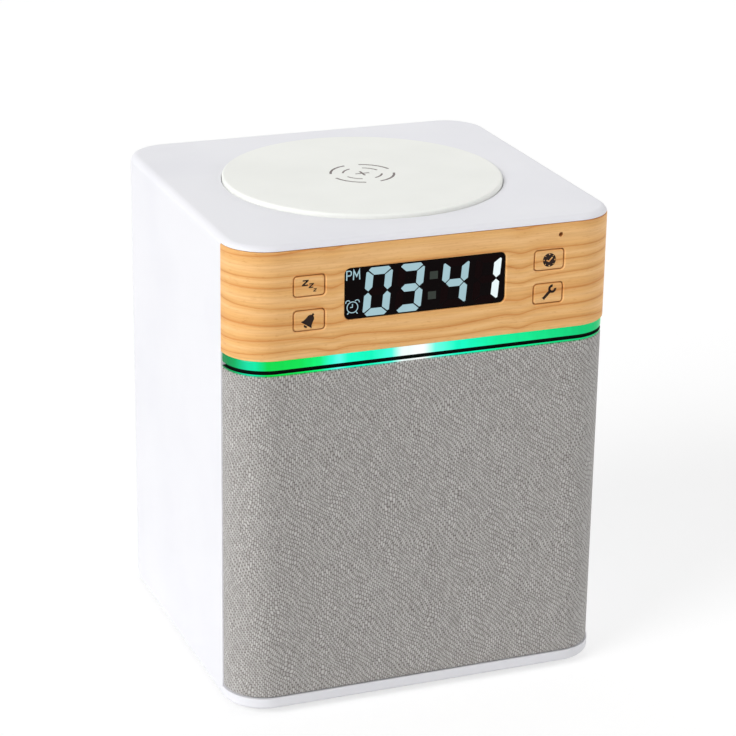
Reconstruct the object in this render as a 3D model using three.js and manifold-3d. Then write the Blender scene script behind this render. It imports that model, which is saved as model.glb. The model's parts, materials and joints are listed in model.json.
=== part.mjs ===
// Bedside clock radio: a rounded upright cabinet with a cloth loudspeaker grille, a lit band, a
// wood-finish fascia with a digit window and four keys, and a round charging pad on top.
// Millimetres, +Z up, the front faces -Y, and the origin is at the middle of the footprint on the table.
import * as THREE from "three";
import { mergeVertices } from "three/addons/utils/BufferGeometryUtils.js";
import Module from "manifold-3d";

const wasm = await Module();
wasm.setup();

// ---------------------------------------------------------------- driving dimensions
const BODY_W = 91;
const BODY_D = 87;
const BODY_H = 110;
const CORNER_R = 10;
const WALL = 2.5;
const TOP_FILLET = 1.8;
const EDGE_FILLET = 0.6;
const ARC_STEPS = 6;

const FOOT_H = 1.5;
const FOOT_R = 5;
const LIP_H = 2.6;
const LIP_DEPTH = 4.6;
const CAP_T = 1.2;
const FASCIA_H = 24.8;
const FASCIA_T = 2.2;
const BAND_H = 3.3;
const BAND_T = 2.6;
const BAND_RECESS = 0.5;
const SEAM = 0.15; // between the stacked front pieces
const FIT = 0.3; // between a piece and the one that carries it
const TOUCH = 0.1; // between flat faces that are screwed or glued together

const CLOTH_RECESS = 0.4;
const CLOTH_T = 0.7;
const FRAME_T = 2;
const FRAME_RIM = 4;
const CELL_COLUMNS = 6;
const CELL_ROWS = 5;
const CELL_RIB = 1.6;
const PEG_R = 1.8;
const PEG_INSET = 9;

// Heights on the front are measured from the fascia's lower edge.
const WINDOW = { x: -1.6, z: 13.5, w: 38, h: 11.8, r: 1.4 };
const WINDOW_FLANGE = 1.2;
const WINDOW_FLANGE_T = 0.8;
const WINDOW_RECESS = 0.25;
const KEY_W = 7;
const KEY_H = 4.5;
const KEY_R = 0.7;
const KEY_GAP = 0.2;
const KEY_FLANGE = 0.7;
const KEY_FLANGE_T = 0.8;
const KEY_TRAVEL = 0.5;
const FRONT_KEYS = [
  { name: "snooze", x: -28.7, z: 16.4 },
  { name: "alarm", x: -28.7, z: 8.6 },
  { name: "clock_set", x: 27.9, z: 16.4 },
  { name: "settings", x: 27.9, z: 8.6 },
];
const PINHOLE = { x: 30.5, z: 22.1, r: 0.55 };

const SWITCH_SIZE = 4.5;
const SWITCH_T = 2;
const SWITCH_STEM_R = 1.1;
const SWITCH_BORE_R = 1.4;
const SWITCH_BORE_DEPTH = 1.4;
const STEM_IN_SWITCH = 0.6;
const BOARD_T = 1.6;
const STAKE_INSET = 2;
const STAKE_R = 1.2;
const STAKE_HOLE_R = 1.5;
const POST_R = 2.4;

const BULKHEAD_T = 3;
const BULKHEAD_GAP = 0.3; // from the shoulder where the casing's side walls end
const DISPLAY_BOARD = { w: 70, h: 19.4, z: 12.8 };
const DISPLAY_BOARD_GAP = 1.9;
const SHELF_T = 2;
const LIGHT_BOARD_T = 1;
const LIGHT_COUNT = 8;
const SENSOR_SIZE = 2;
const SENSOR_T = 1.2;
const CABLE_SLOT = { w: 14, h: 6 };

const PAD_R = 32.5;
const PAD_PROUD = 1;
const PAD_SUNK = 0.8;
const PAD_FILLET = 0.5;
const COIL_R = 21.5;
const COIL_HOLE_R = 10;
const COIL_T = 1.4;
const FERRITE_R = 23;
const FERRITE_T = 0.9;
const TRAY_R = 25.5;
const TRAY_WALL = 1.6;

const DRIVER_SIDE = 56;
const DRIVER_FLANGE_T = 1.6;
const DRIVER_THROAT_R = 25;
const DRIVER_SCREW_PITCH = 47;

const PORT_PLATE = { w: 68, h: 20, z: 21, r: 2 };
const PORT_PLATE_T = 2.1;
const PORT_RECESS = 1;
const REAR_KEY_R = 3.6;
const REAR_KEY_PROUD = 0.8;
const REAR_KEYS = [
  { name: "mode", x: -21 },
  { name: "volume_down", x: -11.2 },
  { name: "volume_up", x: -1.4 },
];
const USB = { x: 10.5, w: 13.2, h: 5.8, shell: 0.5 };
const USB_SETBACK = 0.2;
const POWER = { x: 22, w: 8.4, h: 10, bore: 2.9, pin: 1 };
const MAIN_BOARD = { w: 72, h: 52, z: 33 };
const MAIN_BOARD_SETBACK = 12; // from the port plate's inner face to the board's rear face

const SCREW_HEAD_R = 2.4;
const SCREW_HEAD_T = 1.4;
const SCREW_SHANK_R = 1.2;
const SCREW_CLEAR = 0.25;
const SCREW_LENGTH = 7;
const BOSS_R = 3.2;
const BOSS_H = 10;
const BASE_SCREW_INSET_X = 4; // from the casing's side walls
const BASE_SCREW_INSET_Y = 19.5; // from the casing's front and back
const FOOT_INSET_X = 14;
const FOOT_INSET_Y = 13;

// ---------------------------------------------------------------- levels worked out from them
const Z_BOTTOM = FOOT_H;
const Z_TOP = FOOT_H + BODY_H;
const Z_LIP = Z_BOTTOM + LIP_H;
const Z_CAP = Z_TOP - CAP_T;
const Z_CEILING = Z_TOP - WALL;
const Z_FASCIA = Z_CAP - FASCIA_H;
const Z_BAND = Z_FASCIA - BAND_H;
const Y_FRONT = -BODY_D / 2;
const Y_BACK = BODY_D / 2;
const Y_SHOULDER = Y_FRONT + CORNER_R;
const Y_BULKHEAD = Y_SHOULDER + BULKHEAD_GAP;
const X_INNER = BODY_W / 2 - WALL;
const X_BASE_SCREW = X_INNER - BASE_SCREW_INSET_X;
const Y_BASE_SCREW = Y_BACK - BASE_SCREW_INSET_Y;
const BASE_SCREWS = [
  { x: -X_BASE_SCREW, y: -Y_BASE_SCREW },
  { x: X_BASE_SCREW, y: -Y_BASE_SCREW },
  { x: -X_BASE_SCREW, y: Y_BASE_SCREW },
  { x: X_BASE_SCREW, y: Y_BASE_SCREW },
];
const Y_FASCIA_BACK = Y_FRONT + FASCIA_T;
const Y_WINDOW_BACK = Y_FASCIA_BACK + TOUCH + WINDOW_FLANGE_T;
const Y_DISPLAY_BOARD = Y_BULKHEAD - DISPLAY_BOARD_GAP - BOARD_T;
const Z_DRIVER = (Z_LIP + Z_BAND) / 2;
const Y_FLANGE = Y_BULKHEAD - TOUCH - DRIVER_FLANGE_T;
const Y_PORT_FACE = Y_BACK - PORT_RECESS;
const Y_PORT_INNER = Y_PORT_FACE - PORT_PLATE_T;
const Y_MAIN_BOARD = Y_PORT_INNER - MAIN_BOARD_SETBACK - BOARD_T;
const SOCKET_DEPTH = PORT_PLATE_T + MAIN_BOARD_SETBACK - FIT;
const FRAME_INSET = CLOTH_RECESS + CLOTH_T + FIT;
const BASE_T = LIP_H - EDGE_FILLET;

// ---------------------------------------------------------------- materials
const finish = (color, roughness, metalness = 0) =>
  new THREE.MeshStandardMaterial({ color, roughness, metalness });
const FINISH = {
  white: finish(0xf1f1f3, 0.35),
  pad: finish(0xe8e9e4, 0.6),
  wood: finish(0xd9a467, 0.45),
  band: finish(0x12c46a, 0.1),
  cloth: finish(0xa9a5a1, 0.95),
  black: finish(0x17171a, 0.5),
  window: finish(0x0a080b, 0.05),
  rubber: finish(0x2a2a2c, 0.9),
  board: finish(0x1f5b36, 0.6),
  steel: finish(0xb8babd, 0.35, 1),
  ferrite: finish(0x35353a, 0.8),
  copper: finish(0xb87345, 0.35, 1),
  paper: finish(0x26262a, 0.9),
  spider: finish(0xc79b4b, 0.9),
  nickel: finish(0xc9c9c4, 0.3, 1),
};

// ---------------------------------------------------------------- solid helpers
// A closed three.js geometry as a manifold-3d solid, turned to face outwards.
function solid(geometry) {
  const bare = new THREE.BufferGeometry();
  const source = geometry.index ? geometry.toNonIndexed() : geometry;
  bare.setAttribute("position", source.getAttribute("position").clone());
  const merged = mergeVertices(bare, 1e-3);
  const triVerts = new Uint32Array(merged.index.array);
  const build = (order) =>
    new wasm.Manifold(
      new wasm.Mesh({ numProp: 3, vertProperties: merged.attributes.position.array, triVerts: order }),
    );
  const made = build(triVerts);
  return made.volume() < 0 ? build(triVerts.slice().reverse()) : made;
}

// A manifold-3d solid as a three.js geometry.
function geometryOf(made) {
  const mesh = made.getMesh();
  const geometry = new THREE.BufferGeometry();
  const points = new Float32Array(mesh.numVert * 3);
  for (let i = 0; i < mesh.numVert; i++) {
    points.set(mesh.vertProperties.subarray(i * mesh.numProp, i * mesh.numProp + 3), i * 3);
  }
  geometry.setAttribute("position", new THREE.BufferAttribute(points, 3));
  geometry.setIndex(new THREE.BufferAttribute(mesh.triVerts, 1));
  geometry.computeVertexNormals();
  return geometry;
}

// A box from its lowest to its highest corner.
function block(low, high) {
  const size = high.map((value, i) => value - low[i]);
  const geometry = new THREE.BoxGeometry(...size);
  geometry.translate(...high.map((value, i) => (value + low[i]) / 2));
  return solid(geometry);
}

// A round bar along an axis, from one level to another.
function bar(axis, radius, from, to, at, steps = 16) {
  const geometry = new THREE.CylinderGeometry(radius, radius, to - from, steps);
  const middle = (from + to) / 2;
  if (axis === "z") {
    geometry.rotateX(Math.PI / 2);
    geometry.translate(at[0], at[1], middle);
  } else if (axis === "y") {
    geometry.translate(at[0], middle, at[1]);
  } else {
    geometry.rotateZ(Math.PI / 2);
    geometry.translate(middle, at[0], at[1]);
  }
  return solid(geometry);
}

// A body of revolution about Y from a closed profile of [radius, y] points.
function turned(profile, steps = 20) {
  const points = [...profile, profile[0]].map(([r, y]) => new THREE.Vector2(r, y));
  return solid(new THREE.LatheGeometry(points, steps));
}

// The points of a rectangle with round corners, in order round it.
function roundedPoints(width, depth, radius, steps = ARC_STEPS) {
  const points = [];
  const centres = [
    [width / 2 - radius, depth / 2 - radius, 0],
    [-(width / 2 - radius), depth / 2 - radius, 1],
    [-(width / 2 - radius), -(depth / 2 - radius), 2],
    [width / 2 - radius, -(depth / 2 - radius), 3],
  ];
  for (const [cx, cy, quarter] of centres) {
    for (let i = 0; i <= steps; i++) {
      const angle = ((quarter + i / steps) * Math.PI) / 2;
      points.push(new THREE.Vector2(cx + radius * Math.cos(angle), cy + radius * Math.sin(angle)));
    }
  }
  return points;
}

// An upright prism over an outline in X and Y.
function prism(points, from, to) {
  const geometry = new THREE.ExtrudeGeometry(new THREE.Shape(points), {
    depth: to - from,
    bevelEnabled: false,
  });
  geometry.translate(0, 0, from);
  return solid(geometry);
}

// A round-cornered plate that faces along Y, centred at x and z, between two Y levels.
function plate(width, height, radius, x, z, from, to, steps = 5) {
  const points = roundedPoints(width, height, radius, steps);
  const geometry = new THREE.ExtrudeGeometry(new THREE.Shape(points), {
    depth: to - from,
    bevelEnabled: false,
  });
  geometry.rotateX(Math.PI / 2);
  geometry.translate(x, to, z);
  return solid(geometry);
}

// The cabinet's outline drawn in by an inset on every side.
const cabinetOutline = (inset) =>
  roundedPoints(BODY_W - 2 * inset, BODY_D - 2 * inset, CORNER_R - inset);

// The cabinet's outer body, with its edges rounded at the top and the bottom.
function cabinetBody() {
  const fillet = (level, radius, up) =>
    [0, 0.25, 0.5, 0.75, 1].map((share) => {
      const angle = (share * Math.PI) / 2;
      const rise = radius * (1 - Math.sin(angle));
      return { inset: radius * (1 - Math.cos(angle)), z: level + (up ? -rise : rise) };
    });
  const rings = [
    ...fillet(Z_BOTTOM, EDGE_FILLET, false).reverse(),
    ...fillet(Z_TOP, TOP_FILLET, true),
  ].map(({ inset, z }) => cabinetOutline(inset).map((p) => [p.x, p.y, z]));
  const count = rings[0].length;
  const triangles = [];
  const cap = THREE.ShapeUtils.triangulateShape(cabinetOutline(0), []);
  for (const [a, b, c] of cap) {
    triangles.push(rings[0][a], rings[0][c], rings[0][b]);
    triangles.push(rings.at(-1)[a], rings.at(-1)[b], rings.at(-1)[c]);
  }
  for (let level = 0; level + 1 < rings.length; level++) {
    for (let i = 0; i < count; i++) {
      const j = (i + 1) % count;
      const [low, high] = [rings[level], rings[level + 1]];
      triangles.push(low[i], low[j], high[j], low[i], high[j], high[i]);
    }
  }
  const geometry = new THREE.BufferGeometry();
  geometry.setAttribute("position", new THREE.Float32BufferAttribute(triangles.flat(), 3));
  return solid(geometry);
}

// A strip that wraps the cabinet's front and its two front corners: what lies between two insets,
// ahead of the shoulder where the side walls end.
function frontStrip(outerInset, thickness, from, to) {
  const outer = prism(cabinetOutline(outerInset), from, to);
  const inner = prism(cabinetOutline(outerInset + thickness), from - 1, to + 1);
  const behind = block([-BODY_W, Y_SHOULDER - FIT, from - 2], [BODY_W, BODY_D, to + 2]);
  return outer.subtract(inner).subtract(behind);
}

// A pan-head screw along -Z from the underside of its head, with a cross recess.
function screw() {
  const stem = bar("z", SCREW_SHANK_R, -SCREW_LENGTH, 0.2, [0, 0], 8);
  const head = bar("z", SCREW_HEAD_R, 0, SCREW_HEAD_T, [0, 0], 12);
  const slot = (turned90) => {
    const [long, short] = [1.3, 0.3];
    const [x, y] = turned90 ? [short, long] : [long, short];
    return block([-x, -y, SCREW_HEAD_T - 0.8], [x, y, SCREW_HEAD_T + 1]);
  };
  return head.add(stem).subtract(slot(false).add(slot(true)));
}

// ---------------------------------------------------------------- casing and base
function casing() {
  let body = cabinetBody();
  const hollow = prism(cabinetOutline(WALL), Z_BOTTOM - 1, Z_CEILING);
  body = body.subtract(hollow);
  const opening = block([-BODY_W, -BODY_D, Z_LIP], [BODY_W, Y_SHOULDER, Z_CEILING]);
  const rebate = block([-BODY_W, -BODY_D, Z_CEILING - 1], [BODY_W, Y_SHOULDER, Z_CAP]).subtract(
    prism(cabinetOutline(FASCIA_T + FIT), Z_CEILING - 2, Z_CAP + 1),
  );
  body = body.subtract(opening).subtract(rebate);
  body = body.subtract(bar("z", PAD_R + SEAM, Z_TOP - PAD_SUNK, Z_TOP + 5, [0, 0], 48));
  body = body.add(frontLip()).add(screwBosses()).add(bulkheadRibs()).add(trayHooks());
  body = body.add(boardPosts()).add(portBosses());
  const portHole = [PORT_PLATE.w, PORT_PLATE.h, PORT_PLATE.r, 0, PORT_PLATE.z, Y_PORT_INNER - 3, BODY_D];
  body = body.subtract(plate(...portHole));
  return body.subtract(bossPilots());
}

// The ledge behind the lip, on which the grille stands.
function frontLip() {
  const whole = prism(cabinetOutline(1), Z_LIP - BASE_T + FIT, Z_LIP);
  const behind = block(
    [-BODY_W, Y_FRONT + LIP_DEPTH, Z_BOTTOM - 1],
    [BODY_W, BODY_D, Z_LIP + 1],
  );
  return whole.subtract(behind);
}

// Bosses on the side walls that the base plate's screws bite into.
function screwBosses() {
  const from = Z_BOTTOM + BASE_T + TOUCH;
  const bosses = BASE_SCREWS.map(({ x, y }) => {
    const wallward = Math.sign(x) * (X_INNER + 0.5);
    const web = block(
      [Math.min(x, wallward), y - BOSS_R * 0.7, from],
      [Math.max(x, wallward), y + BOSS_R * 0.7, from + BOSS_H],
    );
    return bar("z", BOSS_R, from, from + BOSS_H, [x, y]).add(web);
  });
  return bosses.reduce((all, boss) => all.add(boss));
}

function bossPilots() {
  const radius = SCREW_SHANK_R + SCREW_CLEAR;
  const down = BASE_SCREWS.map(({ x, y }) =>
    bar("z", radius, Z_BOTTOM - 1, Z_BOTTOM + BASE_T + BOSS_H - 1.5, [x, y], 8),
  );
  const across = portScrewPlaces().map(({ x, z }) =>
    bar("y", radius, Y_PORT_INNER - SCREW_LENGTH, BODY_D, [x, z], 8),
  );
  return [...down, ...across].reduce((all, hole) => all.add(hole));
}

// Upright ribs behind the bulkhead, one on each side wall.
function bulkheadRibs() {
  const from = Y_BULKHEAD + BULKHEAD_T + TOUCH;
  const rib = (side) => {
    const [inner, outer] = [side * (X_INNER - 2), side * (X_INNER + 0.5)];
    return block(
      [Math.min(inner, outer), from, Z_BOTTOM + BASE_T + BOSS_H / 2],
      [Math.max(inner, outer), from + 2, Z_CEILING + 0.5],
    );
  };
  return rib(-1).add(rib(1));
}

// Two hooks under the top that carry the coil tray.
function trayHooks() {
  const drop = COIL_T + FERRITE_T + TRAY_WALL + 4 * TOUCH;
  const hook = (side) => {
    const leg = [side * (TRAY_R + FIT), side * (TRAY_R + FIT + TRAY_WALL)];
    const toe = [side * (TRAY_R - 2), leg[1]];
    const box = ([a, b], low, high) =>
      block([Math.min(a, b), -5, low], [Math.max(a, b), 5, high]);
    const under = Z_CEILING - drop - FIT;
    return box(leg, under - TRAY_WALL, Z_CEILING + 0.5).add(box(toe, under - TRAY_WALL, under));
  };
  return hook(-1).add(hook(1));
}

const boardCorners = ({ w, h, z }, inset) =>
  [-1, 1].flatMap((sx) => [-1, 1].map((sz) => ({ x: sx * (w / 2 - inset), z: z + sz * (h / 2 - inset) })));

// Posts on the rear wall whose staked tips hold the main board.
function boardPosts() {
  const tip = Y_MAIN_BOARD - 1;
  const shoulder = Y_MAIN_BOARD + BOARD_T + TOUCH;
  const posts = boardCorners(MAIN_BOARD, 4).map(({ x, z }) =>
    bar("y", POST_R, shoulder, Y_BACK - 1, [x, z], 16).add(bar("y", STAKE_R, tip, shoulder + 1, [x, z], 8)),
  );
  return posts.reduce((all, post) => all.add(post));
}

const portScrewPlaces = () => {
  const x = PORT_PLATE.w / 2 - BOSS_R;
  return [-x, x].map((place) => ({ x: place, z: PORT_PLATE.z }));
};

// Blocks behind the port plate that its two screws bite into, joined to the rear wall above and below.
function portBosses() {
  const bosses = portScrewPlaces().map(({ x, z }) =>
    block(
      [x - BOSS_R, Y_PORT_INNER - SCREW_LENGTH - 1, z - PORT_PLATE.h / 2 - 2],
      [x + BOSS_R, Y_PORT_INNER - TOUCH - 2.9, z + PORT_PLATE.h / 2 + 2],
    ).add(
      block(
        [x - BOSS_R, Y_PORT_INNER - SCREW_LENGTH - 1, z + PORT_PLATE.h / 2],
        [x + BOSS_R, Y_BACK - 1, z + PORT_PLATE.h / 2 + 2],
      ),
    ).add(
      block(
        [x - BOSS_R, Y_PORT_INNER - SCREW_LENGTH - 1, z - PORT_PLATE.h / 2 - 2],
        [x + BOSS_R, Y_BACK - 1, z - PORT_PLATE.h / 2],
      ),
    ),
  );
  return bosses.reduce((all, boss) => all.add(boss));
}

// The plate that closes the cabinet from below, inside the casing's lower rim.
function basePlate() {
  const inset = WALL + FIT;
  let made = prism(cabinetOutline(inset), Z_BOTTOM, Z_BOTTOM + BASE_T);
  made = made.subtract(
    block([-BODY_W, -BODY_D, Z_BOTTOM - 1], [BODY_W, Y_FRONT + LIP_DEPTH + FIT, Z_LIP]),
  );
  for (const { x, y } of BASE_SCREWS) {
    made = made.subtract(bar("z", SCREW_SHANK_R + SCREW_CLEAR, Z_BOTTOM - 1, Z_LIP, [x, y], 8));
    made = made.subtract(
      bar("z", SCREW_HEAD_R + SCREW_CLEAR, Z_BOTTOM - 1, Z_BOTTOM + SCREW_HEAD_T, [x, y], 16),
    );
  }
  for (const { x, y } of footPlaces()) {
    made = made.subtract(bar("z", FOOT_R + FIT, Z_BOTTOM - 1, Z_BOTTOM + 0.6, [x, y], 16));
  }
  return made;
}

const footPlaces = () =>
  [-1, 1].flatMap((sx) =>
    [-1, 1].map((sy) => ({
      name: (sy < 0 ? "front_" : "rear_") + (sx < 0 ? "left" : "right"),
      x: sx * (BODY_W / 2 - FOOT_INSET_X),
      y: sy * (BODY_D / 2 - FOOT_INSET_Y),
    })),
  );

// A rubber foot glued into its pocket, standing on the table.
function foot() {
  const top = FOOT_H + 0.6 - TOUCH;
  const made = turned([[0, 0], [FOOT_R - 0.5, 0], [FOOT_R, 0.5], [FOOT_R, top], [0, top]], 16);
  return made.rotate([90, 0, 0]);
}

// ---------------------------------------------------------------- front: fascia, band and grille
function fascia() {
  let made = frontStrip(0, FASCIA_T, Z_FASCIA, Z_CAP - SEAM);
  const through = [Y_FRONT - 2, Y_FASCIA_BACK + 2];
  made = made.subtract(plate(WINDOW.w, WINDOW.h, WINDOW.r, WINDOW.x, Z_FASCIA + WINDOW.z, ...through));
  for (const { x, z } of FRONT_KEYS) {
    const [w, h] = [KEY_W + 2 * KEY_GAP, KEY_H + 2 * KEY_GAP];
    made = made.subtract(plate(w, h, KEY_R + KEY_GAP, x, Z_FASCIA + z, ...through));
  }
  return made.subtract(bar("y", PINHOLE.r, ...through, [PINHOLE.x, Z_FASCIA + PINHOLE.z], 16));
}

// The clear light guide, with a groove along its lower edge.
function lightBand() {
  const [from, to] = [Z_BAND + SEAM, Z_FASCIA - SEAM];
  const made = frontStrip(BAND_RECESS, BAND_T, from, to);
  const groove = prism(cabinetOutline(-1), from + 0.55, from + 0.95).subtract(
    prism(cabinetOutline(BAND_RECESS + 0.5), from, to),
  );
  return made.subtract(groove);
}

function grilleCloth() {
  return frontStrip(CLOTH_RECESS, CLOTH_T, Z_LIP + FIT, Z_BAND - FIT);
}

// The frame that the cloth is stretched over: open cells behind the cloth, and pegs to the bulkhead.
function grilleFrame() {
  let made = frontStrip(FRAME_INSET, FRAME_T, Z_LIP + FIT, Z_BAND - FIT);
  const [left, right] = [-(BODY_W / 2 - CORNER_R - FRAME_RIM), BODY_W / 2 - CORNER_R - FRAME_RIM];
  const [low, high] = [Z_LIP + FRAME_RIM, Z_BAND - FRAME_RIM];
  const [stepX, stepZ] = [(right - left) / CELL_COLUMNS, (high - low) / CELL_ROWS];
  const cells = [];
  for (let row = 0; row < CELL_ROWS; row++) {
    for (let column = 0; column < CELL_COLUMNS; column++) {
      const [x, z] = [left + column * stepX + CELL_RIB / 2, low + row * stepZ + CELL_RIB / 2];
      cells.push(block([x, Y_FRONT - 2, z], [x + stepX - CELL_RIB, Y_FRONT + 8, z + stepZ - CELL_RIB]));
    }
  }
  made = made.subtract(wasm.Manifold.union(cells));
  const back = Y_FRONT + FRAME_INSET + FRAME_T;
  for (const { x, z } of pegPlaces()) {
    made = made.add(bar("y", PEG_R, back - 1, Y_BULKHEAD - FIT, [x, z], 16));
  }
  return made;
}

const pegPlaces = () =>
  [-1, 1].flatMap((sx) =>
    [Z_LIP + PEG_INSET / 2, Z_BAND - PEG_INSET / 2].map((z) => ({
      x: sx * (BODY_W / 2 - CORNER_R - PEG_INSET / 3),
      z,
    })),
  );

// ---------------------------------------------------------------- bulkhead and display
// The wall behind the front pieces: it carries the loudspeaker, the display board and the light shelf.
function bulkhead() {
  const [from, to] = [Y_BULKHEAD, Y_BULKHEAD + BULKHEAD_T];
  const half = X_INNER - FIT;
  let made = block([-half, from, Z_BOTTOM + BASE_T + FIT], [half, to, Z_CEILING - FIT]);
  made = made.subtract(bar("y", DRIVER_THROAT_R + 0.8, from - 5, to + 5, [0, Z_DRIVER], 32));
  for (const { x, z } of driverScrewPlaces()) {
    made = made.subtract(bar("y", SCREW_SHANK_R + SCREW_CLEAR, from - 5, to + 5, [x, z], 8));
  }
  const slotZ = Z_FASCIA + CABLE_SLOT.h / 2;
  made = made.subtract(
    block(
      [-CABLE_SLOT.w / 2, from - 5, slotZ - CABLE_SLOT.h / 2],
      [CABLE_SLOT.w / 2, to + 5, slotZ + CABLE_SLOT.h / 2],
    ),
  );
  made = made.add(
    block(
      [-(BODY_W / 2 - CORNER_R), Y_FRONT + FRAME_INSET + FRAME_T + FIT, Z_BAND - SHELF_T],
      [BODY_W / 2 - CORNER_R, from + 1, Z_BAND],
    ),
  );
  const board = { ...DISPLAY_BOARD, z: Z_FASCIA + DISPLAY_BOARD.z };
  for (const { x, z } of boardCorners(board, STAKE_INSET)) {
    const shoulder = Y_DISPLAY_BOARD + BOARD_T + TOUCH;
    made = made.add(bar("y", POST_R, shoulder, from + 1, [x, z], 16));
    made = made.add(bar("y", STAKE_R, Y_DISPLAY_BOARD - 0.8, shoulder + 1, [x, z], 8));
  }
  return made;
}

const driverScrewPlaces = () =>
  [-1, 1].flatMap((sx) =>
    [-1, 1].map((sz) => ({
      name: (sz > 0 ? "upper_" : "lower_") + (sx < 0 ? "left" : "right"),
      x: (sx * DRIVER_SCREW_PITCH) / 2,
      z: Z_DRIVER + (sz * DRIVER_SCREW_PITCH) / 2,
    })),
  );

// The display board, with the room-light sensor soldered on behind the pinhole.
function displayBoard() {
  const board = { ...DISPLAY_BOARD, z: Z_FASCIA + DISPLAY_BOARD.z };
  let made = plate(board.w, board.h, 1, 0, board.z, Y_DISPLAY_BOARD, Y_DISPLAY_BOARD + BOARD_T, 2);
  for (const { x, z } of boardCorners(board, STAKE_INSET)) {
    made = made.subtract(bar("y", STAKE_HOLE_R, Y_DISPLAY_BOARD - 5, Y_DISPLAY_BOARD + 5, [x, z], 8));
  }
  const [half, sensorZ] = [SENSOR_SIZE / 2, Z_FASCIA + PINHOLE.z - 0.2];
  const sensor = block(
    [PINHOLE.x - half, Y_DISPLAY_BOARD - SENSOR_T, sensorZ - half],
    [PINHOLE.x + half, Y_DISPLAY_BOARD + 0.1, sensorZ + half],
  );
  return made.add(sensor);
}

// The digit block, its front lightly dished where each digit and the colon stand.
function digitBlock() {
  const [front, back] = [Y_WINDOW_BACK + TOUCH, Y_DISPLAY_BOARD - TOUCH];
  const z = Z_FASCIA + WINDOW.z;
  let made = plate(WINDOW.w, WINDOW.h, 0.5, WINDOW.x, z, front, back, 2);
  for (const offset of [-11.4, -3.4, 6.9, 14.9]) {
    made = made.subtract(plate(6.4, WINDOW.h - 0.8, 0.5, WINDOW.x + offset, z, front - 1, front + 0.3, 2));
  }
  return made;
}

function displayWindow() {
  const z = Z_FASCIA + WINDOW.z;
  const front = Y_FRONT + WINDOW_RECESS;
  const shoulder = Y_FASCIA_BACK + TOUCH;
  const [w, h] = [WINDOW.w - 2 * SEAM, WINDOW.h - 2 * SEAM];
  const pane = plate(w, h, WINDOW.r - SEAM, WINDOW.x, z, front, shoulder + 0.2);
  const flange = plate(
    WINDOW.w + 2 * WINDOW_FLANGE, WINDOW.h + 2 * WINDOW_FLANGE, WINDOW.r, WINDOW.x, z,
    shoulder, Y_WINDOW_BACK,
  );
  return pane.add(flange);
}

// ---------------------------------------------------------------- keys and switches
// A front key: its cap fills the hole, its flange stays behind the fascia, its stem enters the switch.
function frontKey() {
  const flangeFront = FASCIA_T + FIT;
  const flangeBack = flangeFront + KEY_FLANGE_T;
  const stemEnd = Y_DISPLAY_BOARD - TOUCH - SWITCH_T + STEM_IN_SWITCH - Y_FRONT;
  const cap = plate(KEY_W, KEY_H, KEY_R, 0, 0, 0, flangeFront + 0.1, 5);
  const [w, h] = [KEY_W + 2 * KEY_FLANGE, KEY_H + 2 * KEY_FLANGE];
  const flange = plate(w, h, KEY_R, 0, 0, flangeFront, flangeBack, 3);
  return cap.add(flange).add(bar("y", SWITCH_STEM_R, flangeBack - 0.1, stemEnd, [0, 0], 16));
}

// A switch body that faces -Y, its rear at y = 0, with a bore that the key's stem travels in.
function switchBody() {
  const half = SWITCH_SIZE / 2;
  const made = block([-half, -SWITCH_T, -half], [half, 0, half]);
  return made.subtract(bar("y", SWITCH_BORE_R, -SWITCH_T - 1, SWITCH_BORE_DEPTH - SWITCH_T, [0, 0], 16));
}

// A rear key, domed at its outer end, seated at y = 0 on the port plate's outer face.
function rearKey() {
  const inner = -PORT_PLATE_T - FIT;
  const stemEnd = -(PORT_PLATE_T + MAIN_BOARD_SETBACK) + TOUCH + SWITCH_T - STEM_IN_SWITCH;
  const rim = REAR_KEY_R;
  return turned(
    [
      [0, stemEnd],
      [SWITCH_STEM_R, stemEnd],
      [SWITCH_STEM_R, inner - KEY_FLANGE_T],
      [rim + KEY_FLANGE, inner - KEY_FLANGE_T],
      [rim + KEY_FLANGE, inner],
      [rim, inner],
      [rim, REAR_KEY_PROUD * 0.5],
      [rim - 0.4, REAR_KEY_PROUD * 0.9],
      [rim * 0.5, REAR_KEY_PROUD],
      [0, REAR_KEY_PROUD],
    ],
    20,
  );
}

// ---------------------------------------------------------------- light board
function lightBoard() {
  const half = BODY_W / 2 - CORNER_R - 2;
  const z = Z_BAND + TOUCH;
  const front = Y_FRONT + BAND_RECESS + BAND_T + FIT;
  let made = block([-half, front + 0.8, z], [half, Y_BULKHEAD - FIT, z + LIGHT_BOARD_T]);
  for (let i = 0; i < LIGHT_COUNT; i++) {
    const x = ((i + 0.5) / LIGHT_COUNT - 0.5) * 2 * half;
    const top = z + LIGHT_BOARD_T;
    made = made.add(block([x - 1.5, front + 0.5, top - 0.1], [x + 1.5, front + 2, top + 1]));
  }
  return made;
}

// ---------------------------------------------------------------- charging pad and coil
function chargingPad() {
  const [low, high] = [-PAD_SUNK + 0.05, PAD_PROUD];
  const arc = [0, 1, 2, 3].map((i) => {
    const angle = (i / 3) * (Math.PI / 2);
    return [PAD_R - PAD_FILLET * (1 - Math.cos(angle)), high - PAD_FILLET * (1 - Math.sin(angle))];
  });
  return turned([[0, low], [PAD_R, low], ...arc, [0, high]], 48).rotate([90, 0, 0]);
}

const upright = (profile, steps) => turned(profile, steps).rotate([90, 0, 0]);

function chargingCoil() {
  return upright([[COIL_HOLE_R, 0], [COIL_R, 0], [COIL_R, COIL_T], [COIL_HOLE_R, COIL_T]], 28);
}

function coilFerrite() {
  return upright([[0, 0], [FERRITE_R, 0], [FERRITE_R, FERRITE_T], [0, FERRITE_T]], 28);
}

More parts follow.
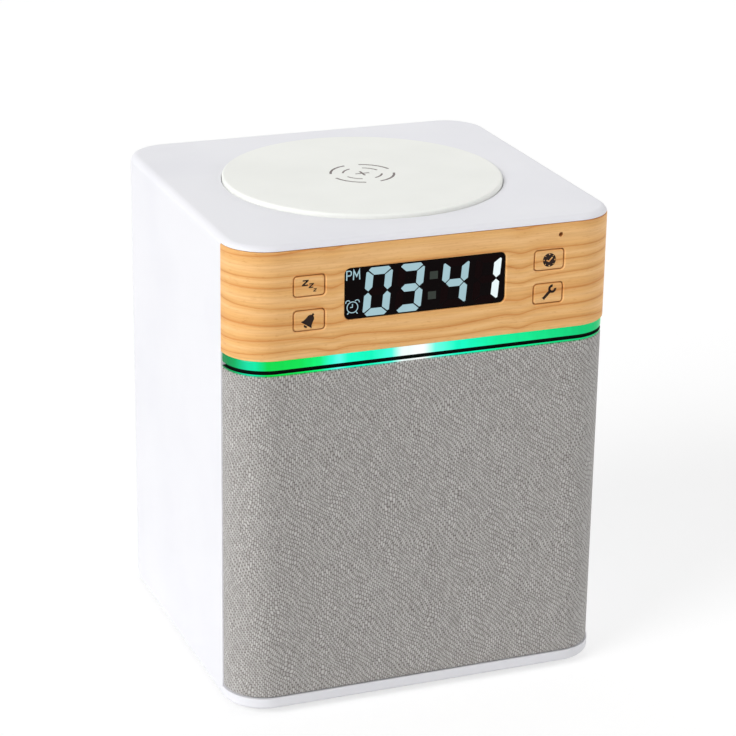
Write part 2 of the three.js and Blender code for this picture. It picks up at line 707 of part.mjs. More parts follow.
function coilTray() {
  const rim = TRAY_WALL + FERRITE_T + COIL_T;
  const inner = TRAY_R - TRAY_WALL;
  return upright(
    [[0, 0], [TRAY_R, 0], [TRAY_R, rim], [inner, rim], [inner, TRAY_WALL], [0, TRAY_WALL]],
    28,
  );
}

// ---------------------------------------------------------------- loudspeaker, its flange's front at y = 0
function driverBasket() {
  const half = DRIVER_SIDE / 2;
  const throat = DRIVER_THROAT_R;
  let made = turned(
    [
      [throat - 1.4, 0],
      [throat + 1, 0],
      [throat + 1, DRIVER_FLANGE_T],
      [throat, DRIVER_FLANGE_T],
      [throat, 4],
      [16.5, 15],
      [16.5, 17.2],
      [9.6, 17.2],
      [9.6, 16],
      [15.2, 16],
      [15.2, 14.4],
      [throat - 1.4, 3.4],
    ],
    24,
  );
  const flange = plate(DRIVER_SIDE, DRIVER_SIDE, 5, 0, 0, 0, DRIVER_FLANGE_T, 3).subtract(
    bar("y", throat, -1, DRIVER_FLANGE_T + 1, [0, 0], 24),
  );
  made = made.add(flange);
  for (const angle of [0, 1, 2, 3]) {
    const window = block([-6, 5.5, 10], [6, 13.2, half]).rotate([0, 45 + angle * 90, 0]);
    made = made.subtract(window);
  }
  for (const { x, z } of driverScrewPlaces()) {
    made = made.subtract(bar("y", SCREW_SHANK_R + SCREW_CLEAR, -1, 3, [x, z - Z_DRIVER], 8));
  }
  return made;
}

const DRIVER_RINGS = {
  driver_top_plate: [[8.4, 17.4], [15, 17.4], [15, 19.4], [8.4, 19.4]],
  driver_magnet: [[10, 19.5], [17, 19.5], [17, 25.6], [10, 25.6]],
  driver_yoke: [[0, 17.4], [6.4, 17.4], [6.4, 25.7], [15, 25.7], [15, 27.8], [0, 27.8]],
  voice_coil: [[7, 10.6], [7.6, 10.6], [7.6, 23], [7, 23]],
  speaker_cone: [[7.9, 11], [7.9, 11.6], [20.6, 0.8], [20.6, 0.2]],
};

// The dust cap: a shallow dome glued to the cone.
function dustCap() {
  const [rim, rise, wall, seat] = [8.4, 2.2, 0.5, 9.9];
  const outer = [];
  const inner = [];
  for (let i = 0; i <= 4; i++) {
    const share = i / 4;
    const y = seat - rise * Math.sqrt(1 - share * share * 0.999);
    outer.push([rim * share, y]);
    inner.unshift([(rim - wall * 0.8) * share, y + wall]);
  }
  return turned([...outer, ...inner], 20);
}

// The rubber surround: a half roll between two flat lips.
function surround() {
  const [middle, roll, wall] = [22.2, 1.4, 0.5];
  const outer = [];
  const inner = [];
  for (let i = 0; i <= 4; i++) {
    const angle = (i / 4) * Math.PI;
    outer.push([middle - (roll + wall) * Math.cos(angle), -TOUCH - (roll + wall) * Math.sin(angle)]);
    inner.unshift([middle - roll * Math.cos(angle), -TOUCH - roll * Math.sin(angle)]);
  }
  const lipIn = middle - roll - wall - 1;
  const lipOut = middle + roll + wall + 1.5;
  const front = -TOUCH - wall;
  return turned(
    [[lipIn, -TOUCH], [lipIn, front], [outer[0][0] + 0.05, front], ...outer.slice(1, -1),
      [outer.at(-1)[0] - 0.05, front], [lipOut, front], [lipOut, -TOUCH], ...inner],
    20,
  );
}

// The spider: a corrugated disc that centres the coil.
function spider() {
  const [from, to, wall, wave, level] = [8, 15.5, 0.5, 0.5, 13];
  const steps = 8;
  const top = [];
  const bottom = [];
  for (let i = 0; i <= steps; i++) {
    const r = from + ((to - from) * i) / steps;
    const y = level + wave * Math.sin((i / steps) * 2 * 2 * Math.PI);
    top.push([r, y]);
    bottom.unshift([r, y + wall]);
  }
  return turned([...top, ...bottom], 20);
}

// ---------------------------------------------------------------- rear: port plate, sockets, main board
function portPlate() {
  const z = PORT_PLATE.z;
  const [w, h] = [PORT_PLATE.w - 2 * SEAM, PORT_PLATE.h - 2 * SEAM];
  let made = plate(w, h, PORT_PLATE.r - SEAM, 0, z, Y_PORT_INNER, Y_PORT_FACE);
  const through = [Y_PORT_INNER - 1, BODY_D];
  for (const { x } of REAR_KEYS) {
    made = made.subtract(bar("y", REAR_KEY_R + KEY_GAP, ...through, [x, z], 28));
  }
  made = made.subtract(
    block(
      [USB.x - USB.w / 2 - SEAM, through[0], z - USB.h / 2 - SEAM],
      [USB.x + USB.w / 2 + SEAM, through[1], z + USB.h / 2 + SEAM],
    ),
  );
  made = made.subtract(bar("y", POWER.bore + 1, ...through, [POWER.x, z], 28));
  for (const { x } of portScrewPlaces()) {
    made = made.subtract(bar("y", SCREW_SHANK_R + SCREW_CLEAR, ...through, [x, z], 8));
    const sink = Y_PORT_FACE - SCREW_HEAD_T;
    made = made.subtract(bar("y", SCREW_HEAD_R + SCREW_CLEAR, sink, BODY_D, [x, z], 16));
  }
  return made;
}

// A flat-shelled charging outlet: a shell, its closed rear and the contact tongue.
function usbSocket() {
  const { w, h, shell } = USB;
  const rear = USB_SETBACK - SOCKET_DEPTH;
  let made = block([-w / 2, rear, -h / 2], [w / 2, 0, h / 2]);
  made = made.subtract(block([-w / 2 + shell, rear + 2, -h / 2 + shell], [w / 2 - shell, 1, h / 2 - shell]));
  return made.add(block([-w / 2 + 1.2, rear + 1, 0.3], [w / 2 - 1.2, -1, h / 2 - 1.1]));
}

// The round power inlet: a block with a bore and a centre pin, and a collar that fills the plate's hole.
function powerSocket() {
  const { w, h, bore, pin } = POWER;
  const face = -PORT_PLATE_T - TOUCH;
  let made = block([-w / 2, -SOCKET_DEPTH, -h / 2], [w / 2, face, h / 2]);
  made = made.add(bar("y", bore + 0.8, face - 1, -0.3, [0, 0], 28));
  made = made.subtract(bar("y", bore, 3 - SOCKET_DEPTH, 1, [0, 0], 28));
  return made.add(bar("y", pin, 2 - SOCKET_DEPTH, -1.5, [0, 0], 12));
}

// The main board with its chips and its sockets for the leads.
function mainBoard() {
  const board = { ...MAIN_BOARD, z: Z_BOTTOM + MAIN_BOARD.z };
  let made = plate(board.w, board.h, 1.5, 0, board.z, Y_MAIN_BOARD, Y_MAIN_BOARD + BOARD_T, 2);
  for (const { x, z } of boardCorners(MAIN_BOARD, 4)) {
    made = made.subtract(bar("y", STAKE_HOLE_R, Y_MAIN_BOARD - 5, Y_MAIN_BOARD + 5, [x, z], 8));
  }
  const chips = [
    { x: -12, z: 30, w: 10, h: 10, t: 1.2 },
    { x: 6, z: 36, w: 7, h: 7, t: 1 },
    { x: 20, z: 28, w: 12, h: 9, t: 4 },
    { x: 0, z: 54, w: 12, h: 4, t: 3 },
    { x: 16, z: 54, w: 6, h: 4, t: 3 },
    { x: -18, z: 54, w: 6, h: 4, t: 3 },
    { x: 30, z: 50, w: 5, h: 4, t: 3 },
  ];
  for (const { x, z, w, h, t } of chips) {
    const back = Y_MAIN_BOARD + 0.1;
    made = made.add(block([x - w / 2, Y_MAIN_BOARD - t, z - h / 2], [x + w / 2, back, z + h / 2]));
  }
  return made;
}

// ---------------------------------------------------------------- leads inside the cabinet
// A lead of a given section along a smooth line through points, in the cabinet's frame.
function lead(section, points, steps) {
  const path = new THREE.CatmullRomCurve3(points.map((p) => new THREE.Vector3(...p)));
  return solid(
    new THREE.ExtrudeGeometry(section, { steps, bevelEnabled: false, extrudePath: path, curveSegments: 4 }),
  );
}

function displayRibbon() {
  const [width, thick] = [10, 0.9];
  const section = new THREE.Shape(
    [[-1, -1], [1, -1], [1, 1], [-1, 1]].map(([x, y]) => new THREE.Vector2((x * width) / 2, (y * thick) / 2)),
  );
  const start = Z_FASCIA + CABLE_SLOT.h / 2;
  return lead(
    section,
    [
      [0, Y_DISPLAY_BOARD + BOARD_T + FIT, start],
      [0, Y_BULKHEAD + BULKHEAD_T + 3, start],
      [0, -10, start - 3],
      [0, 8, start - 14],
      [0, Y_MAIN_BOARD - 9, 57],
      [0, Y_MAIN_BOARD - 6, 54],
      [0, Y_MAIN_BOARD - 3 - FIT, 54],
    ],
    18,
  );
}

function roundSection(radius) {
  return new THREE.Shape(
    Array.from({ length: 8 }, (_, i) => {
      const angle = (i / 8) * 2 * Math.PI;
      return new THREE.Vector2(radius * Math.cos(angle), radius * Math.sin(angle));
    }),
  );
}

function speakerLead() {
  return lead(
    roundSection(1.1),
    [
      [18.3, Y_FLANGE + 16, Z_DRIVER + 3],
      [21, Y_FLANGE + 22, Z_DRIVER + 6],
      [21, 0, Z_DRIVER + 11],
      [18, 14, Z_DRIVER + 13],
      [16, Y_MAIN_BOARD - 6, 54],
      [16, Y_MAIN_BOARD - 3 - FIT, 54],
    ],
    16,
  );
}

function coilLead() {
  return lead(
    roundSection(1.1),
    [
      [-15, 4, Z_CEILING - COIL_T - FERRITE_T - TRAY_WALL - 2],
      [-15, 7, Z_CEILING - 13],
      [-17, 14, Z_CEILING - 28],
      [-18, Y_MAIN_BOARD - 9, 58],
      [-18, Y_MAIN_BOARD - 6, 54],
      [-18, Y_MAIN_BOARD - 3 - FIT, 54],
    ],
    16,
  );
}

// The wire aerial: from its socket on the main board up the inside of the rear wall.
function aerialWire() {
  const wallY = Y_BACK - WALL - 0.9 - FIT;
  return lead(
    roundSection(0.9),
    [
      [30, Y_MAIN_BOARD - 3 - FIT, 50],
      [30, Y_MAIN_BOARD - 6, 50],
      [33, Y_MAIN_BOARD - 6, 58],
      [34, Y_MAIN_BOARD + 2, 66],
      [34, wallY - 1.5, 76],
      [34, wallY - 0.1, 84],
      [34, wallY, 90],
      [34, wallY, 98],
    ],
    20,
  );
}

// ---------------------------------------------------------------- assembly
const clockRadio = new THREE.Group();

function place(name, made, material, position = [0, 0, 0], rotation = [0, 0, 0], parent = clockRadio) {
  const mesh = new THREE.Mesh(geometryOf(made), material);
  mesh.name = name;
  mesh.position.set(...position);
  mesh.rotation.set(...rotation);
  parent.add(mesh);
  return mesh;
}

function addCabinet() {
  place("casing", casing(), FINISH.white);
  place("base_plate", basePlate(), FINISH.white);
  for (const { name, x, y } of footPlaces()) {
    place("foot_" + name, foot(), FINISH.rubber, [x, y, 0]);
  }
  BASE_SCREWS.forEach(({ x, y }, i) => {
    const seat = Z_BOTTOM + SCREW_HEAD_T - TOUCH;
    place("base_screw_" + (i + 1), screw(), FINISH.steel, [x, y, seat], [Math.PI, 0, 0]);
  });
}

function addFront() {
  place("front_fascia", fascia(), FINISH.wood);
  place("light_band", lightBand(), FINISH.band);
  place("grille_cloth", grilleCloth(), FINISH.cloth);
  place("grille_frame", grilleFrame(), FINISH.black);
  place("bulkhead", bulkhead(), FINISH.black);
  place("light_board", lightBoard(), FINISH.board);
}

function addDisplay() {
  place("display_window", displayWindow(), FINISH.window);
  place("digit_block", digitBlock(), FINISH.black);
  place("display_board", displayBoard(), FINISH.board);
  const keyY = Y_FRONT;
  for (const { name, x, z } of FRONT_KEYS) {
    place(name + "_key", frontKey(), FINISH.wood, [x, keyY, Z_FASCIA + z]);
    place(name + "_switch", switchBody(), FINISH.black, [x, Y_DISPLAY_BOARD - TOUCH, Z_FASCIA + z]);
  }
}

function addCharger() {
  place("charging_pad", chargingPad(), FINISH.pad, [0, 0, Z_TOP]);
  const coilZ = Z_CEILING - TOUCH - COIL_T;
  const ferriteZ = coilZ - TOUCH - FERRITE_T;
  place("charging_coil", chargingCoil(), FINISH.copper, [0, 0, coilZ]);
  place("coil_ferrite", coilFerrite(), FINISH.ferrite, [0, 0, ferriteZ]);
  place("coil_tray", coilTray(), FINISH.black, [0, 0, ferriteZ - TOUCH - TRAY_WALL]);
}

function addLoudspeaker() {
  const driver = new THREE.Group();
  driver.position.set(0, Y_FLANGE, Z_DRIVER);
  clockRadio.add(driver);
  const inDriver = (name, made, material) => place(name, made, material, [0, 0, 0], [0, 0, 0], driver);
  inDriver("driver_basket", driverBasket(), FINISH.steel);
  inDriver("driver_top_plate", turned(DRIVER_RINGS.driver_top_plate), FINISH.steel);
  inDriver("driver_magnet", turned(DRIVER_RINGS.driver_magnet), FINISH.ferrite);
  inDriver("driver_yoke", turned(DRIVER_RINGS.driver_yoke), FINISH.steel);
  inDriver("voice_coil", turned(DRIVER_RINGS.voice_coil, 32), FINISH.copper);
  inDriver("speaker_cone", turned(DRIVER_RINGS.speaker_cone), FINISH.paper);
  inDriver("dust_cap", dustCap(), FINISH.paper);
  inDriver("surround", surround(), FINISH.rubber);
  inDriver("spider", spider(), FINISH.spider);
  for (const { name, x, z } of driverScrewPlaces()) {
    const turnForward = [Math.PI / 2, 0, 0];
    place("driver_screw_" + name, screw(), FINISH.steel, [x, Y_FLANGE - TOUCH, z], turnForward);
  }
}

function addRear() {
  const z = PORT_PLATE.z;
  place("port_plate", portPlate(), FINISH.white);
  place("usb_socket", usbSocket(), FINISH.nickel, [USB.x, Y_PORT_FACE - USB_SETBACK, z]);
  place("power_socket", powerSocket(), FINISH.black, [POWER.x, Y_PORT_FACE, z]);
  place("main_board", mainBoard(), FINISH.board);
  for (const { name, x } of REAR_KEYS) {
    place(name + "_key", rearKey(), FINISH.white, [x, Y_PORT_FACE, z]);
    const rear = Y_MAIN_BOARD + BOARD_T + TOUCH;
    place(name + "_switch", switchBody(), FINISH.black, [x, rear, z], [0, 0, Math.PI]);
  }
  portScrewPlaces().forEach(({ x }, i) => {
    const seat = Y_PORT_FACE - SCREW_HEAD_T + TOUCH;
    place("port_screw_" + (i + 1), screw(), FINISH.steel, [x, seat, z], [-Math.PI / 2, 0, 0]);
  });
}

function addLeads() {
  place("display_ribbon", displayRibbon(), FINISH.white);
  place("speaker_lead", speakerLead(), FINISH.black);
  place("coil_lead", coilLead(), FINISH.black);
  place("aerial_wire", aerialWire(), FINISH.black);
}

addCabinet();
addFront();
addDisplay();
addCharger();
addLoudspeaker();
addRear();
addLeads();

export default clockRadio;
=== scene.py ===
"""Looks of an upright bedside clock radio, built round its solid model.

Metres, +Z up, the front faces -Y and +X is to the viewer's right. New pieces are surfaces worked out on
grids of points, and they take their places and sizes from the solid model's nodes. Sizes written here in
millimetres are turned to metres by MM; flat figures and grain sizes stay in millimetres.
"""
from __future__ import annotations

import json
import logging
import math
from dataclasses import dataclass, field
from enum import Enum

import bmesh
import bpy
import numpy as np
from mathutils import Matrix, Vector

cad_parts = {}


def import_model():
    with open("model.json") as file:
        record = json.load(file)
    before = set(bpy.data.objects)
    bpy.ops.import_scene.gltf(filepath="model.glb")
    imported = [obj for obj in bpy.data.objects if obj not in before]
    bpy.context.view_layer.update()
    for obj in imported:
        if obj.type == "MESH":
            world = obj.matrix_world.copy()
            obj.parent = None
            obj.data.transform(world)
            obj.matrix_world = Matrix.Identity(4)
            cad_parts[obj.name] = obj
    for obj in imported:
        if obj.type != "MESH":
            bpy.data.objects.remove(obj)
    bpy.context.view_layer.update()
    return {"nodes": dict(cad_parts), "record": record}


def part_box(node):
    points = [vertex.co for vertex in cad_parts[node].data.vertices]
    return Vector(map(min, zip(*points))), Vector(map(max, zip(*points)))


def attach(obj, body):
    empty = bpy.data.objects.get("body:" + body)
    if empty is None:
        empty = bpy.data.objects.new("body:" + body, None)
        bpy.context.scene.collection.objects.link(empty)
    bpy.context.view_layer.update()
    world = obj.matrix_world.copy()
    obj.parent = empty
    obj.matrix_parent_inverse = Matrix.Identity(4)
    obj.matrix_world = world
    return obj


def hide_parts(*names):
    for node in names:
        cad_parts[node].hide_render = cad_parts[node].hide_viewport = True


MM = 0.001
CABINET_CORNER = 10 * MM
LOG = logging.getLogger("clock_radio")


# ------------------------------------------------------------------------------------------ meshes
class Facing(Enum):
    """The way a flat figure looks: the directions of its width, its height and its outward side."""

    FRONT = ((1, 0, 0), (0, 0, 1), (0, -1, 0))
    REAR = ((-1, 0, 0), (0, 0, 1), (0, 1, 0))
    TOP = ((1, 0, 0), (0, 1, 0), (0, 0, 1))


@dataclass
class Shape:
    """Points and faces gathered from several sheets, made into one piece at the end."""

    points: list[np.ndarray] = field(default_factory=list)
    faces: list[list[int]] = field(default_factory=list)
    slots: list[int] = field(default_factory=list)
    uvs: list[np.ndarray] = field(default_factory=list)
    count: int = 0

    def _take(self, points: np.ndarray, uv: np.ndarray | None) -> int:
        """Adds points and returns the number of the first."""
        first = self.count
        self.points.append(points.reshape(-1, 3))
        self.uvs.append(np.zeros((points.size // 3, 2)) if uv is None else uv.reshape(-1, 2))
        self.count += points.size // 3
        return first

    def sheet(
        self,
        grid: np.ndarray,
        wrap_u: bool = False,
        wrap_v: bool = False,
        slot: int | np.ndarray = 0,
        uv: np.ndarray | None = None,
    ) -> Shape:
        """Adds a grid of points [v, u] as quads; a wrapped way joins its last line to its first.

        Args:
            grid: points, shaped (v, u, 3).
            wrap_u: whether each row closes on itself.
            wrap_v: whether each column closes on itself.
            slot: the material slot, or one for each row of quads.
            uv: a texture place for each point, in metres.
        """
        rows, columns = grid.shape[:2]
        v = np.arange(rows if wrap_v else rows - 1)[:, None]
        u = np.arange(columns if wrap_u else columns - 1)[None, :]
        v1, u1 = (v + 1) % rows, (u + 1) % columns
        quads = np.stack(
            [v * columns + u, v * columns + u1, v1 * columns + u1, v1 * columns + u], axis=-1
        )
        first = self._take(grid, uv)
        self.faces += (quads.reshape(-1, 4) + first).tolist()
        slots = np.broadcast_to(np.asarray(slot).reshape(-1, 1), quads.shape[:2])
        self.slots += slots.reshape(-1).tolist()
        return self

    def cap(self, loop: np.ndarray, slot: int = 0) -> Shape:
        """Adds one face over a closed loop of points."""
        first = self._take(loop, None)
        self.faces.append(list(range(first, first + len(loop))))
        self.slots.append(slot)
        return self

    def piece(self, name: str, finishes: list[Finish], smooth_deg: float = 32.0) -> bpy.types.Object:
        """Makes the object: doubles merged, faces turned outwards, smooth up to an angle.

        Args:
            name: the piece's name.
            finishes: one for each material slot.
            smooth_deg: edges sharper than this stay sharp.

        Returns:
            The new object, at the origin.
        """
        points = np.concatenate(self.points)
        mesh = bpy.data.meshes.new(name)
        mesh.from_pydata(points.tolist(), [], self.faces)
        mesh.polygons.foreach_set("material_index", self.slots)
        corners = np.empty(len(mesh.loops), dtype=np.int32)
        mesh.loops.foreach_get("vertex_index", corners)
        layer = mesh.uv_layers.new(name="surface")
        layer.data.foreach_set("uv", np.concatenate(self.uvs)[corners].astype(np.float32).ravel())
        tidy = bmesh.new()
        tidy.from_mesh(mesh)
        bmesh.ops.remove_doubles(tidy, verts=tidy.verts, dist=1e-6)
        bmesh.ops.recalc_face_normals(tidy, faces=tidy.faces)
        tidy.to_mesh(mesh)
        tidy.free()
        for finish in finishes:
            mesh.materials.append(finish.material())
        obj = bpy.data.objects.new(name, mesh)
        bpy.context.scene.collection.objects.link(obj)
        return smoothed(obj, smooth_deg)


def smoothed(obj: bpy.types.Object, degrees: float) -> bpy.types.Object:
    """Shades an object smooth, with edges over an angle kept sharp, and returns it."""
    obj.data.polygons.foreach_set("use_smooth", [True] * len(obj.data.polygons))
    obj.data.set_sharp_from_angle(angle=math.radians(degrees))
    return obj


def settle(obj: bpy.types.Object) -> bpy.types.Object:
    """Applies an object's modifiers to its mesh and returns it."""
    graph = bpy.context.evaluated_depsgraph_get()
    done = bpy.data.meshes.new_from_object(obj.evaluated_get(graph))
    old, obj.data = obj.data, done
    done.name = obj.name
    obj.modifiers.clear()
    bpy.data.meshes.remove(old)
    return obj


def cut(obj: bpy.types.Object, cutters: list[bpy.types.Object], smooth_deg: float) -> bpy.types.Object:
    """Takes the cutters' solids out of an object, deletes the cutters and returns the object.

    Args:
        obj: the solid to cut.
        cutters: closed solids, which are used up.
        smooth_deg: edges sharper than this stay sharp.

    Returns:
        The object, cut.
    """
    for cutter in cutters:
        step = obj.modifiers.new("cut", "BOOLEAN")
        step.operation = "DIFFERENCE"
        step.solver = "EXACT"
        step.object = cutter
    settle(obj)
    for cutter in cutters:
        bpy.data.meshes.remove(cutter.data)
    return smoothed(obj, smooth_deg)


def flat_shading(obj: bpy.types.Object) -> bpy.types.Object:
    """Weights the normals by face area, so that large flats stay flat beside small rounds."""
    step = obj.modifiers.new("normals", "WEIGHTED_NORMAL")
    step.keep_sharp = True
    step.weight = 80
    return obj


# --------------------------------------------------------------------------------------- outlines
def arc(radius: float, start_deg: float, end_deg: float, steps: int) -> np.ndarray:
    """Points (cos, sin) x radius from one angle to another.

    Args:
        radius: the arc's radius.
        start_deg: the first angle, from +x towards +y.
        end_deg: the last angle.
        steps: how many chords.

    Returns:
        The points, shaped (steps + 1, 2).
    """
    angles = np.radians(np.linspace(start_deg, end_deg, steps + 1))
    return radius * np.stack([np.cos(angles), np.sin(angles)], axis=-1)


def rounded(width: float, height: float, radius: float, steps: int = 8) -> np.ndarray:
    """A rectangle with round corners: each corner's centre plus a quarter arc, in order round it.

    Args:
        width: along x.
        height: along y.
        radius: of the corners.
        steps: chords in each corner.

    Returns:
        The outline's points about the origin, anticlockwise.
    """
    x, y = width / 2 - radius, height / 2 - radius
    corners = [(x, y, 0), (-x, y, 90), (-x, -y, 180), (x, -y, 270)]
    return np.concatenate([np.array([cx, cy]) + arc(radius, a, a + 90, steps) for cx, cy, a in corners])


def standing(flat: np.ndarray, facing: Facing, origin: Vector, out: float = 0.0) -> np.ndarray:
    """Flat points set up in space: origin + x . width way + y . height way + out . outward way.

    Args:
        flat: points, shaped (..., 2).
        facing: the way the figure looks.
        origin: where its own origin goes.
        out: how far it is moved outwards.

    Returns:
        The points in space, shaped (..., 3).
    """
    across, up, away = (np.array(way, dtype=float) for way in facing.value)
    return np.array(origin) + flat[..., :1] * across + flat[..., 1:2] * up + out * away


def loft(
    shape: Shape,
    width: float,
    height: float,
    radius: float,
    levels: list[tuple[float, float]],
    facing: Facing,
    origin: Vector,
    steps: int = 8,
) -> Shape:
    """A plate with round corners through levels of (out, inset), closed at both ends.

    Args:
        shape: what the plate is added to.
        width: across the plate, before any inset.
        height: up the plate, before any inset.
        radius: of its corners.
        levels: how far out each outline is, and how far it is drawn in.
        facing: the way the plate looks.
        origin: the middle of its face.
        steps: chords in each corner.

    Returns:
        The shape.
    """
    loops = np.stack(
        [
            standing(
                rounded(width - 2 * inset, height - 2 * inset, max(radius - inset, 0.02 * MM), steps),
                facing,
                origin,
                out,
            )
            for out, inset in levels
        ]
    )
    return shape.sheet(loops, wrap_u=True).cap(loops[0]).cap(loops[-1])


def turned(
    shape: Shape, profile: list[tuple[float, float]], facing: Facing, origin: Vector, steps: int = 64
) -> Shape:
    """A body of revolution: each (radius, out) of the profile carried round the outward way.

    Args:
        shape: what the body is added to.
        profile: from one end of the axis to the other.
        facing: the way the axis points.
        origin: a point of the axis, where out is 0.
        steps: chords in the full turn.

    Returns:
        The shape.
    """
    ring = arc(1.0, 0, 360, steps)[:-1]
    loops = np.stack([standing(ring * max(r, 0.0), facing, origin, out) for r, out in profile])
    return shape.sheet(loops, wrap_u=True)


def edge_levels(out: float, radius: float, back: float, steps: int = 4) -> list[tuple[float, float]]:
    """Levels of a plate whose front edge is rounded: a quarter arc, then straight back.

    Args:
        out: the front's place along the outward way.
        radius: of the rounded edge.
        back: the rear's place.
        steps: chords in the arc.

    Returns:
        Levels for loft.
    """
    turn = arc(radius, 90, 0, steps)
    return [(out - radius + y, radius - x) for x, y in turn] + [(back, 0.0)]


@dataclass(frozen=True)
class Footprint:
    """The cabinet's outline seen from above: a rectangle with round corners."""

    half_w: float
    half_d: float
    corner: float

    def front(self, arc_steps: int = 20, flat_steps: int = 40) -> tuple[np.ndarray, ...]:
        """Stations from the left shoulder round the front to the right shoulder.

        Returns:
            Centres of curvature, outward directions and the length run at the surface.
        """
        x, y = self.half_w - self.corner, -(self.half_d - self.corner)
        left = arc(1.0, 180, 270, arc_steps)
        right = arc(1.0, 270, 360, arc_steps)
        flat = np.linspace(-x, x, flat_steps + 1)[1:-1]
        centres = np.concatenate(
            [
                np.tile([-x, y], (len(left), 1)),
                np.stack([flat, np.full_like(flat, y)], axis=-1),
                np.tile([x, y], (len(right), 1)),
            ]
        )
        ways = np.concatenate([left, np.tile([0.0, -1.0], (len(flat), 1)), right])
        skin = centres + self.corner * ways
        run = np.concatenate([[0.0], np.cumsum(np.linalg.norm(np.diff(skin, axis=0), axis=1))])
        return centres, ways, run

    def around(self, arc_steps: int = 20, flat_steps: int = 20) -> tuple[np.ndarray, np.ndarray]:
        """Stations all the way round, from the rear of the right side, anticlockwise.

        Returns:
            Centres of curvature and outward directions.
        """
        x, y = self.half_w - self.corner, self.half_d - self.corner
        centres, ways = [], []
        for cx, cy, start in [(x, y, 0), (-x, y, 90), (-x, -y, 180), (x, -y, 270)]:
            turn = arc(1.0, start, start + 90, arc_steps)
            centres.append(np.tile([cx, cy], (len(turn), 1)))
            ways.append(turn)
            next_x, next_y = {0: (-x, y), 90: (-x, -y), 180: (x, -y), 270: (x, y)}[start]
            share = np.linspace(0, 1, flat_steps + 1)[1:-1, None]
            centres.append((1 - share) * np.array([cx, cy]) + share * np.array([next_x, next_y]))
            ways.append(np.tile(turn[-1], (flat_steps - 1, 1)))
        return np.concatenate(centres), np.concatenate(ways)

    def carry(self, profile: np.ndarray, shape: Shape, slot: int | np.ndarray = 0) -> Shape:
        """Carries a closed profile of (inset, z) along the front stations, and closes its two ends.

        Args:
            profile: the section's points, shaped (n, 2).
            shape: what the body is added to.
            slot: the material slot, or one for each side of the section.

        Returns:
            The shape.
        """
        centres, ways, run = self.front()
        reach = (self.corner - profile[:, 0])[:, None, None]
        flat = centres[None] + ways[None] * reach
        z = np.broadcast_to(profile[:, 1][:, None, None], flat.shape[:2] + (1,))
        grid = np.concatenate([flat, z], axis=-1)
        uv = np.stack([np.broadcast_to(run, grid.shape[:2]), grid[..., 2]], axis=-1)
        shape.sheet(grid, wrap_v=True, slot=slot, uv=uv)
        return shape.cap(grid[:, 0]).cap(grid[:, -1])


# ------------------------------------------------------------------------------------ flat figures
def ribbon(points: list[tuple[float, float]], width: float) -> np.ndarray:
    """A line drawn with a width: the points moved half the width to each side, mitred at bends.

    Args:
        points: the line's points, in order.
        width: how wide the line is drawn.

    Returns:
        The closed outline.
    """
    line = np.array(points, dtype=float)
    step = np.diff(line, axis=0)
    step /= np.linalg.norm(step, axis=1)[:, None]
    normal = np.stack([-step[:, 1], step[:, 0]], axis=-1)
    mitre = np.concatenate([normal[:1], (normal[:-1] + normal[1:]), normal[-1:]])
    mitre /= np.sum(mitre * np.concatenate([normal[:1], normal[1:], normal[-1:]]), axis=1)[:, None]
    return np.concatenate([line + mitre * width / 2, (line - mitre * width / 2)[::-1]])


def bow(centre: tuple[float, float], inner: float, outer: float, start: float, end: float) -> np.ndarray:
    """A piece of a ring between two radii and two angles.

    Args:
        centre: the ring's middle.
        inner: the smaller radius.
        outer: the larger radius.
        start: the first angle, in degrees.
        end: the last angle.

    Returns:
        The closed outline.
    """
    steps = max(4, int(abs(end - start) / 12))
    edge = np.concatenate([arc(outer, start, end, steps), arc(inner, end, start, steps)])
    return np.array(centre) + edge


def disc(centre: tuple[float, float], radius: float) -> np.ndarray:
    """A full circle."""
    return np.array(centre) + arc(radius, 0, 360, 28)[:-1]


def inlay(
    name: str, figures: list[np.ndarray], finish: Finish, facing: Facing, origin: Vector,
    proud: float = 0.02 * MM, depth: float = 0.1 * MM,
) -> bpy.types.Object:
    """Thin prisms over flat figures given in millimetres: printed or inlaid marks.

    Args:
        name: the piece's name.
        figures: closed outlines, in millimetres from the origin.
        finish: what they are made of.
        facing: the way they look.
        origin: the point of the surface they lie on.
        proud: how far they stand out of the surface.
        depth: how deep they go into it.

    Returns:
        The piece.
    """
    shape = Shape()
    for figure in figures:
        loops = np.stack([standing(figure * MM, facing, origin, out) for out in (proud, -depth)])
        shape.sheet(loops, wrap_u=True).cap(loops[0]).cap(loops[1])
    return shape.piece(name, [finish], 20.0)


# ---------------------------------------------------------------------------------------- finishes
def linear(code: str) -> tuple[float, float, float, float]:
    """The linear colour of an sRGB hex code: c / 12.92 when dark, else ((c + 0.055) / 1.055) ^ 2.4."""
    values = [int(code[i : i + 2], 16) / 255 for i in (0, 2, 4)]
    red, green, blue = (c / 12.92 if c <= 0.04045 else ((c + 0.055) / 1.055) ** 2.4 for c in values)
    return red, green, blue, 1.0


def feed(tree: bpy.types.NodeTree, node: bpy.types.Node, inputs: dict) -> bpy.types.Node:
    """Gives a node's inputs their values and links.

    Args:
        tree: the tree the node is in.
        node: the node.
        inputs: for each input a value, a socket to link, or a node whose first live output is linked.

    Returns:
        The node.
    """
    for key, value in inputs.items():
        if isinstance(value, bpy.types.Node):
            value = next(output for output in value.outputs if output.enabled)
        if isinstance(value, bpy.types.NodeSocket):
            tree.links.new(value, node.inputs[key])
        else:
            node.inputs[key].default_value = value
    return node


